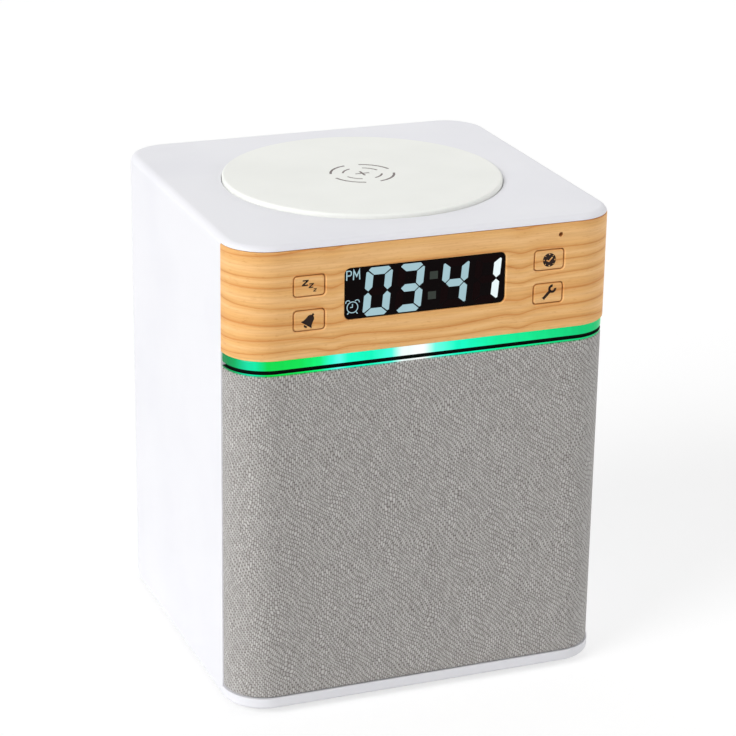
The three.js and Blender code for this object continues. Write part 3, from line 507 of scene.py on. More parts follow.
def add(
    tree: bpy.types.NodeTree, kind: str, settings: dict | None = None, inputs: dict | None = None
) -> bpy.types.Node:
    """Adds a node, sets its settings, gives it its inputs as feed does, and returns it.

    Args:
        tree: the tree it goes into.
        kind: its type.
        settings: its properties, by name.
        inputs: as feed takes them.

    Returns:
        The new node.
    """
    node = tree.nodes.new(kind)
    for key, value in (settings or {}).items():
        setattr(node, key, value)
    return feed(tree, node, inputs or {})


def set_ramp(node: bpy.types.Node, stops: list[tuple[float, str]]) -> bpy.types.Node:
    """Gives a colour ramp its stops of (place, hex code) and returns it.

    Args:
        node: the ramp's node.
        stops: in order along the ramp.

    Returns:
        The node.
    """
    ramp = node.color_ramp
    while len(ramp.elements) > 1:
        ramp.elements.remove(ramp.elements[-1])
    ramp.elements[0].position, ramp.elements[0].color = stops[0][0], linear(stops[0][1])
    for place, code in stops[1:]:
        ramp.elements.new(place).color = linear(code)
    return node


@dataclass(frozen=True)
class Finish:
    """A surface: its name, its colour and how it takes the light. Subclasses add their pattern.

    Widths that end in _mm and depths of a pattern are in millimetres.
    """

    name: str
    colour: str
    roughness: float = 0.5
    metallic: float = 0.0
    specular: float = 0.5

    def material(self) -> bpy.types.Material:
        """The finish's material, made the first time it is asked for."""
        found = bpy.data.materials.get(self.name)
        if found:
            return found
        material = bpy.data.materials.new(self.name)
        material.use_nodes = True
        tree = material.node_tree
        tree.nodes.clear()
        plain = {
            "Base Color": linear(self.colour),
            "Roughness": self.roughness,
            "Metallic": self.metallic,
            "Specular IOR Level": self.specular,
        }
        shader = add(tree, "ShaderNodeBsdfPrincipled", inputs=plain)
        add(tree, "ShaderNodeOutputMaterial", inputs={"Surface": shader})
        self.dress(tree, shader)
        return material

    def millimetres(self, tree: bpy.types.NodeTree, scale: tuple[float, float, float]) -> bpy.types.Node:
        """Object coordinates divided by a size in millimetres along each axis."""
        place = add(tree, "ShaderNodeTexCoord")
        sized = tuple(1.0 / (s * MM) for s in scale)
        return add(tree, "ShaderNodeMapping", inputs={"Scale": sized, "Vector": place.outputs["Object"]})

    def dress(self, tree: bpy.types.NodeTree, shader: bpy.types.Node) -> None:
        """Adds the pattern to the shader."""


@dataclass(frozen=True)
class Moulded(Finish):
    """Moulded plastic or rubber: fine spark-eroded grain, and a colour that drifts a little."""

    shade: str = "E0E0E4"
    grain_mm: float = 0.45
    grain_depth: float = 0.02
    drift_mm: float = 28.0
    rough_spread: float = 0.06

    def dress(self, tree: bpy.types.NodeTree, shader: bpy.types.Node) -> None:
        """Colour drifts between two near tones; the bump is noise as wide as the tool's grain."""
        drifting = {"Scale": 1.0, "Detail": 3.0, "Vector": self.millimetres(tree, (self.drift_mm,) * 3)}
        drift = add(tree, "ShaderNodeTexNoise", inputs=drifting)
        tone = add(tree, "ShaderNodeValToRGB", inputs={"Fac": drift})
        set_ramp(tone, [(0.3, self.shade), (0.6, self.colour)])
        fine = {"Scale": 1.0, "Detail": 4.0, "Roughness": 0.6}
        fine["Vector"] = self.millimetres(tree, (self.grain_mm,) * 3)
        grain = add(tree, "ShaderNodeTexNoise", inputs=fine)
        low, high = self.roughness - self.rough_spread, self.roughness + self.rough_spread
        rough = add(tree, "ShaderNodeMapRange", inputs={"To Min": low, "To Max": high, "Value": grain})
        relief = {"Strength": 0.35, "Distance": self.grain_depth * MM, "Height": grain}
        bump = add(tree, "ShaderNodeBump", inputs=relief)
        feed(tree, shader, {"Base Color": tone, "Roughness": rough, "Normal": bump})


@dataclass(frozen=True)
class Timber(Finish):
    """Pale softwood veneer under a thin matt lacquer: rings a few millimetres apart, run lengthwise.

    At dips_mm across, the lines lift into low humps, as they do beside a knot.
    """

    ring_mm: float = 3.7
    light: str = "F7C688"
    line: str = "DE9248"
    line_fading: str = "E6A965"
    line_coming: str = "E9AF6D"
    dips_mm: tuple[float, ...] = (-23.5, 21.0)
    dip_slope: float = 0.36
    dip_rise: float = 0.8
    wander_mm: tuple[float, float, float] = (55.0, 55.0, 14.0)
    wander_reach: float = 8.0
    streak_mm: tuple[float, float, float] = (14.0, 14.0, 0.5)
    pore_mm: tuple[float, float, float] = (1.6, 1.6, 0.28)
    pore_depth: float = 0.03

    def dress(self, tree: bpy.types.NodeTree, shader: bpy.types.Node) -> None:
        """Multiplies the ring colour by fine streaks and by pores, which also give the bump."""
        streaking = {"Scale": 1.0, "Detail": 4.0, "Roughness": 0.65}
        streaking["Vector"] = self.millimetres(tree, self.streak_mm)
        streak = add(tree, "ShaderNodeTexNoise", inputs=streaking)
        pored = {"Scale": 1.0, "Detail": 2.0, "Vector": self.millimetres(tree, self.pore_mm)}
        pores = add(tree, "ShaderNodeTexNoise", inputs=pored)
        colour = self._rings(tree)
        for noise, stops in (
            (streak, [(0.3, "F0E7DC"), (0.6, "FFFFFF")]),
            (pores, [(0.26, "F3E9DC"), (0.40, "FFFFFF")]),
        ):
            tone = set_ramp(add(tree, "ShaderNodeValToRGB", inputs={"Fac": noise}), stops)
            multiply = {"data_type": "RGBA", "blend_type": "MULTIPLY"}
            colour = add(tree, "ShaderNodeMix", multiply, {"Factor": 1.0, "A": colour, "B": tone})
        relief = {"Strength": 0.25, "Distance": self.pore_depth * MM, "Height": pores}
        feed(tree, shader, {"Base Color": colour, "Normal": add(tree, "ShaderNodeBump", inputs=relief)})

    def _rings(self, tree: bpy.types.NodeTree) -> bpy.types.Node:
        """Ring colour from the fraction of (height + wander + humps) / ring spacing + unevenness.

        A hump is exp(-(slope (x - centre))^2) x its rise.
        """
        apart = add(
            tree, "ShaderNodeSeparateXYZ", inputs={"Vector": self.millimetres(tree, (1.0, 1.0, 1.0))}
        )
        wandering = {"Scale": 1.0, "Detail": 1.5, "Vector": self.millimetres(tree, self.wander_mm)}
        wander = add(tree, "ShaderNodeTexNoise", inputs=wandering)
        centred = {0: wander, 1: self.wander_reach, 2: -self.wander_reach / 2}
        shift = add(tree, "ShaderNodeMath", {"operation": "MULTIPLY_ADD"}, centred)
        height = add(tree, "ShaderNodeMath", {"operation": "ADD"}, {0: apart.outputs["Z"], 1: shift})
        for centre in self.dips_mm:
            beside = {0: apart.outputs["X"], 1: self.dip_slope, 2: -centre * self.dip_slope}
            off = add(tree, "ShaderNodeMath", {"operation": "MULTIPLY_ADD"}, beside)
            square = add(tree, "ShaderNodeMath", {"operation": "MULTIPLY"}, {0: off, 1: off})
            minus = add(tree, "ShaderNodeMath", {"operation": "MULTIPLY"}, {0: square, 1: -1.0})
            hump = add(tree, "ShaderNodeMath", {"operation": "EXPONENT"}, {0: minus})
            lifted = {0: hump, 1: self.dip_rise, 2: height}
            height = add(tree, "ShaderNodeMath", {"operation": "MULTIPLY_ADD"}, lifted)
        along = {"Scale": 0.13, "Detail": 1.0, "W": height}
        spread = add(tree, "ShaderNodeTexNoise", {"noise_dimensions": "1D"}, along)
        spacing = {0: height, 1: 1.0 / self.ring_mm, 2: spread}
        spaced = add(tree, "ShaderNodeMath", {"operation": "MULTIPLY_ADD"}, spacing)
        ring = add(tree, "ShaderNodeMath", {"operation": "FRACT"}, {0: spaced})
        stops = [
            (0.0, self.line), (0.05, self.line_fading), (0.2, self.colour), (0.55, self.light),
            (0.82, self.colour), (0.95, self.line_coming), (1.0, self.line),
        ]
        return set_ramp(add(tree, "ShaderNodeValToRGB", inputs={"Fac": ring}), stops)


@dataclass(frozen=True)
class Weave(Finish):
    """Polyester crepe: tall pillows of yarn in columns, each column stepped, with painted shade in the
    pinholes between.

    The real yarn is finer, and is drawn this coarse so that it holds together at a distance.
    """

    # The gap and shadow tones are painted shade in the pinholes and the creases between pillows; the ridge
    # tone is a painted highlight on their crowns.
    gap: str = "4A413C"
    shadow: str = "8E8986"
    crown_highlight: str = "CCCAC7"
    stitch_mm: tuple[float, float] = (0.46, 1.15)
    step: float = 0.37
    wander_mm: float = 0.13
    wander_scale: float = 0.75
    drift_mm: float = 0.9
    drift_scale: float = 0.14
    lively_share: float = 0.4
    dullest: float = 0.66
    yarn_depth: float = 0.12

    def dress(self, tree: bpy.types.NodeTree, shader: bpy.types.Node) -> None:
        """Height is (1 - 0.8 sx^2)(1 - sy^4) in each stitch, sx and sy running from -1 to 1 across it."""
        where = add(tree, "ShaderNodeTexCoord")
        scaled = {"Scale": (1 / MM, 1 / MM, 1.0), "Vector": where.outputs["UV"]}
        sized = add(tree, "ShaderNodeMapping", inputs=scaled)
        moved = sized
        for scale, reach in ((self.wander_scale, self.wander_mm), (self.drift_scale, self.drift_mm)):
            moved = self._pushed(tree, sized, moved, scale, reach)
        apart = add(tree, "ShaderNodeSeparateXYZ", inputs={"Vector": moved})
        divide, floor = {"operation": "DIVIDE"}, {"operation": "FLOOR"}
        across = add(tree, "ShaderNodeMath", divide, {0: apart.outputs["X"], 1: self.stitch_mm[0]})
        column = add(tree, "ShaderNodeMath", floor, {0: across})
        rise = add(tree, "ShaderNodeMath", divide, {0: apart.outputs["Y"], 1: self.stitch_mm[1]})
        scale_add = {"operation": "MULTIPLY_ADD"}
        along = add(tree, "ShaderNodeMath", scale_add, {0: column, 1: self.step, 2: rise})
        row = add(tree, "ShaderNodeMath", floor, {0: along})
        square_x, square_y = self._off_middle(tree, across), self._off_middle(tree, along)
        fourth_y = add(tree, "ShaderNodeMath", {"operation": "MULTIPLY"}, {0: square_y, 1: square_y})
        low_x = add(tree, "ShaderNodeMath", scale_add, {0: square_x, 1: -0.8, 2: 1.0})
        low_y = add(tree, "ShaderNodeMath", scale_add, {0: fourth_y, 1: -1.0, 2: 1.0})
        pillow = add(tree, "ShaderNodeMath", {"operation": "MULTIPLY"}, {0: low_x, 1: low_y})
        stitch = add(tree, "ShaderNodeCombineXYZ", inputs={"X": column, "Y": row})
        chance = add(tree, "ShaderNodeTexWhiteNoise", inputs={"Vector": stitch})
        lively = add(tree, "ShaderNodeMath", scale_add, {0: chance, 1: self.lively_share, 2: self.dullest})
        level = add(tree, "ShaderNodeMath", {"operation": "MULTIPLY"}, {0: pillow, 1: lively})
        tone = add(tree, "ShaderNodeValToRGB", inputs={"Fac": level})
        # Painted light: the lowest heights get the gap and shadow tones as painted shade, the highest get the
        # palest tone as a painted highlight.
        set_ramp(tone, [(0.02, self.gap), (0.18, self.shadow), (0.5, self.colour), (0.95, self.crown_highlight)])
        relief = {"Strength": 0.7, "Distance": self.yarn_depth * MM, "Height": level}
        bump = add(tree, "ShaderNodeBump", inputs=relief)
        feed(tree, shader, {"Base Color": tone, "Normal": bump, "Sheen Weight": 0.6, "Sheen Roughness": 0.4})

    def _pushed(
        self,
        tree: bpy.types.NodeTree,
        place: bpy.types.Node,
        moved: bpy.types.Node,
        scale: float,
        reach: float,
    ) -> bpy.types.Node:
        """A place moved by noise: (noise colour - 0.5) x 4 x the reach, in millimetres."""
        noise = add(tree, "ShaderNodeTexNoise", inputs={"Scale": scale, "Detail": 1.5, "Vector": place})
        centred = {0: noise.outputs["Color"], 1: (0.5, 0.5, 0.5)}
        around = add(tree, "ShaderNodeVectorMath", {"operation": "SUBTRACT"}, centred)
        shift = add(tree, "ShaderNodeVectorMath", {"operation": "SCALE"}, {0: around, "Scale": reach * 4})
        return add(tree, "ShaderNodeVectorMath", {"operation": "ADD"}, {0: moved, 1: shift})

    def _off_middle(self, tree: bpy.types.NodeTree, source: bpy.types.Node) -> bpy.types.Node:
        """How far a value lies from the middle of its stitch, squared: 0 there and 1 at the edge."""
        part = add(tree, "ShaderNodeMath", {"operation": "FRACT"}, {0: source})
        signed = add(tree, "ShaderNodeMath", {"operation": "MULTIPLY_ADD"}, {0: part, 1: 2.0, 2: -1.0})
        return add(tree, "ShaderNodeMath", {"operation": "MULTIPLY"}, {0: signed, 1: signed})


@dataclass(frozen=True)
class Lit(Finish):
    """Something that shines: its own colour, with soft unevenness from the lamp behind it."""

    strength: float = 1.0
    uneven: float = 0.1
    patch_mm: float = 3.0

    def dress(self, tree: bpy.types.NodeTree, shader: bpy.types.Node) -> None:
        """Emission colour is the colour dimmed a little by broad noise."""
        broad = {"Scale": 1.0, "Detail": 1.0, "Vector": self.millimetres(tree, (self.patch_mm,) * 3)}
        noise = add(tree, "ShaderNodeTexNoise", inputs=broad)
        dimmest = 1.0 - 2 * self.uneven
        dim = add(tree, "ShaderNodeMapRange", inputs={"To Min": dimmest, "To Max": 1.0, "Value": noise})
        multiply = {"data_type": "RGBA", "blend_type": "MULTIPLY"}
        glow = add(tree, "ShaderNodeMix", multiply, {"Factor": 1.0, "A": linear(self.colour), "B": dim})
        black = linear("000000")
        feed(
            tree, shader,
            {"Base Color": black, "Emission Strength": self.strength, "Emission Color": glow},
        )


@dataclass(frozen=True)
class Glow(Finish):
    """A clear light guide lit by small lamps behind it: green, with cyan and white hot spots, and a painted
    highlight on its left corner.

    Each stop is a place across the front in millimetres and the colour there.
    """

    span_mm: float = 92.0
    streak_mm: tuple[float, float, float] = (1.3, 2.0, 5.0)
    stops: tuple[tuple[float, str], ...] = (
        # The paler cyan stops round -42.3 mm, on the left corner, are a painted highlight.
        (-45.5, "00703A"), (-43.8, "00B060"), (-42.3, "10D8A0"), (-40.5, "00E8A8"), (-38.0, "00D84A"),
        (-31.0, "00E04E"), (-26.0, "00F27A"), (-23.2, "30FFD8"), (-21.6, "60FFEE"), (-19.6, "08FCC8"),
        (-14.0, "00FAC0"), (-9.2, "48FFE2"), (-6.8, "F2FFFF"), (-1.6, "FFFFFF"), (1.0, "6CFFE6"),
        (6.0, "08FBC8"), (16.0, "04EE9E"), (28.0, "04DE84"), (40.0, "00C070"), (45.5, "00A862"),
    )

    def dress(self, tree: bpy.types.NodeTree, shader: bpy.types.Node) -> None:
        """Emission colour is a ramp along X, dimmed by fine streaks that stand upright."""
        apart = add(
            tree, "ShaderNodeSeparateXYZ", inputs={"Vector": self.millimetres(tree, (1.0, 1.0, 1.0))}
        )
        shared = {0: apart.outputs["X"], 1: 1.0 / self.span_mm, 2: 0.5}
        share = add(tree, "ShaderNodeMath", {"operation": "MULTIPLY_ADD"}, shared)
        ramp = add(tree, "ShaderNodeValToRGB", inputs={"Fac": share})
        set_ramp(ramp, [(x / self.span_mm + 0.5, code) for x, code in self.stops])
        upright = {"Scale": 1.0, "Detail": 2.0, "Vector": self.millimetres(tree, self.streak_mm)}
        streak = add(tree, "ShaderNodeTexNoise", inputs=upright)
        levels = {"From Min": 0.3, "From Max": 0.7, "To Min": 0.95, "To Max": 1.03, "Value": streak}
        dim = add(tree, "ShaderNodeMapRange", inputs=levels)
        multiply = {"data_type": "RGBA", "blend_type": "MULTIPLY"}
        glow = add(tree, "ShaderNodeMix", multiply, {"Factor": 1.0, "A": ramp, "B": dim})
        feed(tree, shader, {"Emission Color": glow, "Emission Strength": 1.0})


@dataclass(frozen=True)
class Drawn(Finish):
    """Bright or plated metal: fine streaks along one way, and a roughness that varies with them."""

    streak_mm: tuple[float, float, float] = (0.3, 0.3, 6.0)
    streak_depth: float = 0.01

    def dress(self, tree: bpy.types.NodeTree, shader: bpy.types.Node) -> None:
        """Stretched noise drives the roughness and a very shallow bump."""
        stretched = {"Scale": 1.0, "Detail": 3.0, "Vector": self.millimetres(tree, self.streak_mm)}
        noise = add(tree, "ShaderNodeTexNoise", inputs=stretched)
        low, high = self.roughness - 0.1, self.roughness + 0.12
        rough = add(tree, "ShaderNodeMapRange", inputs={"To Min": low, "To Max": high, "Value": noise})
        relief = {"Strength": 0.2, "Distance": self.streak_depth * MM, "Height": noise}
        feed(tree, shader, {"Roughness": rough, "Normal": add(tree, "ShaderNodeBump", inputs=relief)})


@dataclass(frozen=True)
class Wound(Finish):
    """Enamelled wire laid in turns: round rings of one wire's thickness about the winding's axis, with
    painted shade between the turns.
    """

    wire_mm: float = 0.5
    axis: str = "Z"
    # Painted shade in the crease between two turns.
    between: str = "5A2E14"
    rings_per_unit: float = 3.14  # how many rings a wave of scale 1 has in a unit, near enough
    turn_depth: float = 0.1

    def dress(self, tree: bpy.types.NodeTree, shader: bpy.types.Node) -> None:
        """A wave over the distance from the axis bumps the surface between turns and darkens it there with
        painted shade.
        """
        turns = {"Scale": 1.0, "Distortion": 0.0}
        turns["Vector"] = self.millimetres(tree, (self.wire_mm * self.rings_per_unit,) * 3)
        rings = {"wave_type": "RINGS", "rings_direction": self.axis}
        wave = add(tree, "ShaderNodeTexWave", rings, turns)
        tone = add(tree, "ShaderNodeValToRGB", inputs={"Fac": wave.outputs["Fac"]})
        set_ramp(tone, [(0.0, self.between), (0.5, self.colour)])
        relief = {"Strength": 0.6, "Distance": self.turn_depth * MM, "Height": wave.outputs["Fac"]}
        feed(tree, shader, {"Base Color": tone, "Normal": add(tree, "ShaderNodeBump", inputs=relief)})


@dataclass(frozen=True)
class Board(Finish):
    """Green solder mask over copper: paler tracks in right-angled cells, and small pads."""

    track: str = "2E7A48"
    pad: str = "B9B27A"
    cell_mm: float = 3.0
    track_depth: float = 0.04

    def dress(self, tree: bpy.types.NodeTree, shader: bpy.types.Node) -> None:
        """Chebychev cells, whose edges read as tracks, pale the mask where copper lies under it."""
        square = {"distance": "CHEBYCHEV", "feature": "F1"}
        placed = {"Scale": 1.0, "Vector": self.millimetres(tree, (self.cell_mm,) * 3)}
        cells = add(tree, "ShaderNodeTexVoronoi", square, placed)
        tone = add(tree, "ShaderNodeValToRGB", inputs={"Fac": cells})
        set_ramp(tone, [(0.08, self.pad), (0.12, self.colour), (0.5, self.colour), (0.56, self.track)])
        relief = {"Strength": 0.3, "Distance": self.track_depth * MM, "Height": cells}
        feed(tree, shader, {"Base Color": tone, "Normal": add(tree, "ShaderNodeBump", inputs=relief)})


# White ABS moulded in a finely textured tool: an even, faint sheen with no hot spot.
SHELL = Moulded("satin_white_abs", "EDEDF1", 0.42, specular=0.18, shade="E9E9EE")
# Silicone: softer and duller than the shell, and a little warmer.
PAD = Moulded("white_silicone", "F7F8F3", 0.62, shade="F2F3EE", grain_mm=0.3)
# Lacquered pine veneer: warm, with its lines running across the front.
TIMBER = Timber("pale_wood_veneer", "F1BA74", 0.5, specular=0.3)
# Polyester crepe: grey, with painted shade in its pinholes and creases, a painted highlight on its yarn, and
# no shine but a pale edge.
CLOTH = Weave("grey_crepe_cloth", "A8A5A2", 0.95, specular=0.1)
# Clear acrylic lit from behind: it reads as light, hardly as a surface; its left corner carries a painted
# highlight.
GUIDE = Glow("lit_light_guide", "00331C", 0.2, specular=0.15)
# The same guide where no light leaves it: a near-black green line.
GUIDE_SHADOW = Moulded("dark_guide_gap", "06120C", 0.6, specular=0.1, shade="04100A")
# Smoked acrylic, polished: almost black, with little to mirror.
PANE = Moulded("black_acrylic_pane", "0A0304", 0.12, specular=0.05, shade="080203", grain_depth=0.002)
# Diffused lamps behind the pane: cool white bars, the last ones brighter, the colon almost out.
SEGMENT = Lit("lit_segment", "A3C6CF", uneven=0.06)
SEGMENT_HOT = Lit("bright_segment", "EDFBFD", uneven=0.04)
COLON = Lit("dim_colon", "1C2A1F", uneven=0.2)
SEGMENT_OFF = Moulded("unlit_segment", "140708", 0.5, specular=0.03, shade="110607")
# Printed ink: flat and dull, dark on wood and grey on white.
INK = Moulded("dark_brown_ink", "2A1B16", 0.6, specular=0.2, shade="241611")
GREY_INK = Moulded("grey_ink", "7C7371", 0.6, specular=0.2, shade="736A68")
# Black ABS with a fine grain: a broad grey sheen.
BLACK = Moulded("black_abs", "1A1A1C", 0.55, shade="141416")
# Cast rubber: dull, with a coarse skin.
RUBBER = Moulded("foot_rubber", "2B2B2D", 0.85, shade="222224", grain_mm=0.6, grain_depth=0.05)
# Glass-fibre board under solder mask: glossy green with paler tracks.
BOARD = Board("solder_mask", "1C5632", 0.4)
# Zinc and nickel plate: grey and warm white metal with drawn streaks.
STEEL = Drawn("zinc_plated_steel", "B9BBBE", 0.34, metallic=1.0)
NICKEL = Drawn("bright_nickel", "CFCDC6", 0.22, metallic=1.0)
# Enamelled copper wire: close turns that glint one by one, with painted shade between them.
COPPER = Wound("enamelled_copper", "C07A44", 0.35, metallic=0.9)
# Pressed and fired ferrite: stone-dark and grainy.
FERRITE = Moulded("sintered_ferrite", "35353A", 0.75, shade="2A2A2F", grain_mm=0.8, grain_depth=0.05)
# Coated paper pulp: black felt-like fibres.
PAPER = Moulded("coated_paper_cone", "2A2A2D", 0.9, shade="202023", grain_mm=1.1, grain_depth=0.1)
# Butyl rubber: black with a low sheen.
BUTYL = Moulded("butyl_surround", "1D1D1F", 0.7, shade="17171A")
# Resin-stiffened cotton: straw-coloured and dry.
SPIDER = Moulded("corrugated_cloth", "C79B4B", 0.9, shade="A87F38", grain_mm=0.5, grain_depth=0.1)
# PVC jackets: black wire and pale flat cable, slightly glossy.
JACKET = Moulded("black_lead_jacket", "222225", 0.5, shade="1B1B1E")
RIBBON = Moulded("pale_ribbon_jacket", "D6D6D2", 0.5, shade="C4C4C0")
# Tinted film over the digit block: a warm black.
FILTER = Moulded("digit_filter", "1B1517", 0.6, shade="141012")

NODE_FINISH: dict[str, Finish] = {
    "white_shell": SHELL, "wood_finish": TIMBER, "light_guide": GUIDE, "grille_fabric": CLOTH,
    "black_plastic": BLACK, "window_pane": PANE, "digit_filter": FILTER, "circuit_board": BOARD,
    "pad_rubber": PAD, "copper_winding": COPPER, "ferrite": FERRITE, "driver_steel": STEEL,
    "cone_paper": PAPER, "surround_rubber": BUTYL, "spider_cloth": SPIDER, "nickel_shell": NICKEL,
    "ribbon_jacket": RIBBON, "lead_jacket": JACKET, "foot_rubber": RUBBER, "screw_steel": STEEL,
}


# ------------------------------------------------------------------------------------- assemblies
def finish_piece(obj: bpy.types.Object, body: str, slot: str, *nodes: str) -> bpy.types.Object:
    """Hands a piece to the frame: puts it on its body and hides the nodes it stands for.

    Args:
        obj: the finished piece.
        body: the body it moves with.
        slot: the material slot it is made of; not used.
        nodes: the solid model's nodes it replaces.

    Returns:
        The piece.
    """
    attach(obj, body)
    if nodes:
        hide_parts(*nodes)
    LOG.info("%s: %d faces on %s", obj.name, len(obj.data.polygons), body)
    return obj


def corners_of(node: str) -> tuple[Vector, Vector]:
    """The low and the high corner of a node's box."""
    low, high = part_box(node)
    return Vector(low), Vector(high)


def middle(node: str) -> Vector:
    """The middle of a node's box."""
    low, high = corners_of(node)
    return (low + high) / 2


@dataclass
class CabinetShell:
    """The white shell: top, sides, rear and the lip under the grille, in one moulding."""

    footprint: Footprint
    low: Vector
    high: Vector
    wall: float = 2.5 * MM
    top_round: float = 1.8 * MM
    foot_round: float = 0.8 * MM
    lip: float = 2.6 * MM
    cap: float = 1.2 * MM
    pad_hole: float = 32.65 * MM
    pad_sunk: float = 0.8 * MM
    pad_ease: float = 0.3 * MM
    port_gap: float = 0.15 * MM
    port_corner: float = 2 * MM
    rebate_depth: float = 2.5 * MM

    def build(self) -> bpy.types.Object:
        """Builds the shell as a closed vessel, then opens its front and its port recess."""
        shape = Shape()
        self._vessel(shape)
        shell = shape.piece("casing_shell", [SHELL])
        cut(shell, [self._front_opening(), self._cap_rebate(), self._port_opening()], 32.0)
        return finish_piece(flat_shading(shell), "cabinet", "white_shell", "casing")

    def _vessel(self, shape: Shape) -> None:
        """Loops at (inset, z) up the outside, over the edge and, blended to circles, to the pad's seat.

        The inside goes back down at the wall's thickness, and the two join at the lower rim.
        """
        centres, ways = self.footprint.around()
        skin = centres + self.footprint.corner * ways
        circle = skin / np.linalg.norm(skin, axis=1)[:, None]
        rise = arc(self.foot_round, -90, 0, 5)
        over = arc(self.top_round, 0, 90, 8)
        outer = [(self.foot_round - x, self.low.z + self.foot_round + y) for x, y in rise]
        outer += [(self.top_round - x, self.high.z - self.top_round + y) for x, y in over]
        loops = [self._loop(centres, ways, inset, z) for inset, z in outer]
        rim = centres + (self.footprint.corner - self.top_round) * ways
        for share in np.linspace(0, 1, 6)[1:]:
            flat = (1 - share) * rim + share * circle * (self.pad_hole + self.pad_ease)
            loops.append(np.column_stack([flat, np.full(len(flat), self.high.z)]))
        seat = [(self.pad_hole + 0.1 * MM, 0.08 * MM), (self.pad_hole, self.pad_ease)]
        seat += [(self.pad_hole, self.pad_sunk), (0.0, self.pad_sunk)]
        for radius, drop in seat:
            loops.append(np.column_stack([circle * radius, np.full(len(rim), self.high.z - drop)]))
        shape.sheet(np.stack(loops), wrap_u=True)
        ceiling = self.high.z - self.wall
        inner = [self._loop(centres, ways, self.foot_round, self.low.z)]
        inner += [self._loop(centres, ways, self.wall, z) for z in np.linspace(self.low.z, ceiling, 6)]
        inner.append(np.column_stack([skin * 0.0, np.full(len(skin), ceiling)]))
        shape.sheet(np.stack(inner), wrap_u=True)

    def _loop(self, centres: np.ndarray, ways: np.ndarray, inset: float, z: float) -> np.ndarray:
        """The outline drawn in by an inset, at a height."""
        flat = centres + (self.footprint.corner - inset) * ways
        return np.column_stack([flat, np.full(len(flat), z)])

    def _slab(self, name: str, low: Vector, high: Vector) -> bpy.types.Object:
        """A plain block to cut with."""
        centre, size = (low + high) / 2, high - low
        levels = [(size.z / 2, 0.0), (-size.z / 2, 0.0)]
        shape = loft(Shape(), size.x, size.y, 0.001 * MM, levels, Facing.TOP, centre, 1)
        return shape.piece(name, [SHELL])

    def _front_opening(self) -> bpy.types.Object:
        """What is cut away ahead of the shoulders, between the lip and the ceiling."""
        shoulder = -(self.footprint.half_d - self.footprint.corner)
        low = Vector((-1, -1, self.low.z + self.lip))
        return self._slab("opening_cutter", low, Vector((1, shoulder, self.high.z - self.wall)))

    def _cap_rebate(self) -> bpy.types.Object:
        """The step under the cap that the fascia's upper edge goes into."""
        outside, inside = -2 * MM, self.rebate_depth
        low, high = self.high.z - self.wall - 1 * MM, self.high.z - self.cap
        profile = np.array([(outside, low), (outside, high), (inside, high), (inside, low)])
        return self.footprint.carry(profile, Shape()).piece("rebate_cutter", [SHELL])

    def _port_opening(self) -> bpy.types.Object:
        """The hole in the rear wall that the port plate sits in."""
        low, high = corners_of("port_plate")
        origin = Vector(((low.x + high.x) / 2, self.footprint.half_d, (low.z + high.z) / 2))
        width, height = high.x - low.x + 2 * self.port_gap, high.z - low.z + 2 * self.port_gap
        levels = [(1 * MM, 0.0), (-8 * MM, 0.0)]
        hole = loft(Shape(), width, height, self.port_corner, levels, Facing.REAR, origin)
        return hole.piece("port_cutter", [SHELL])


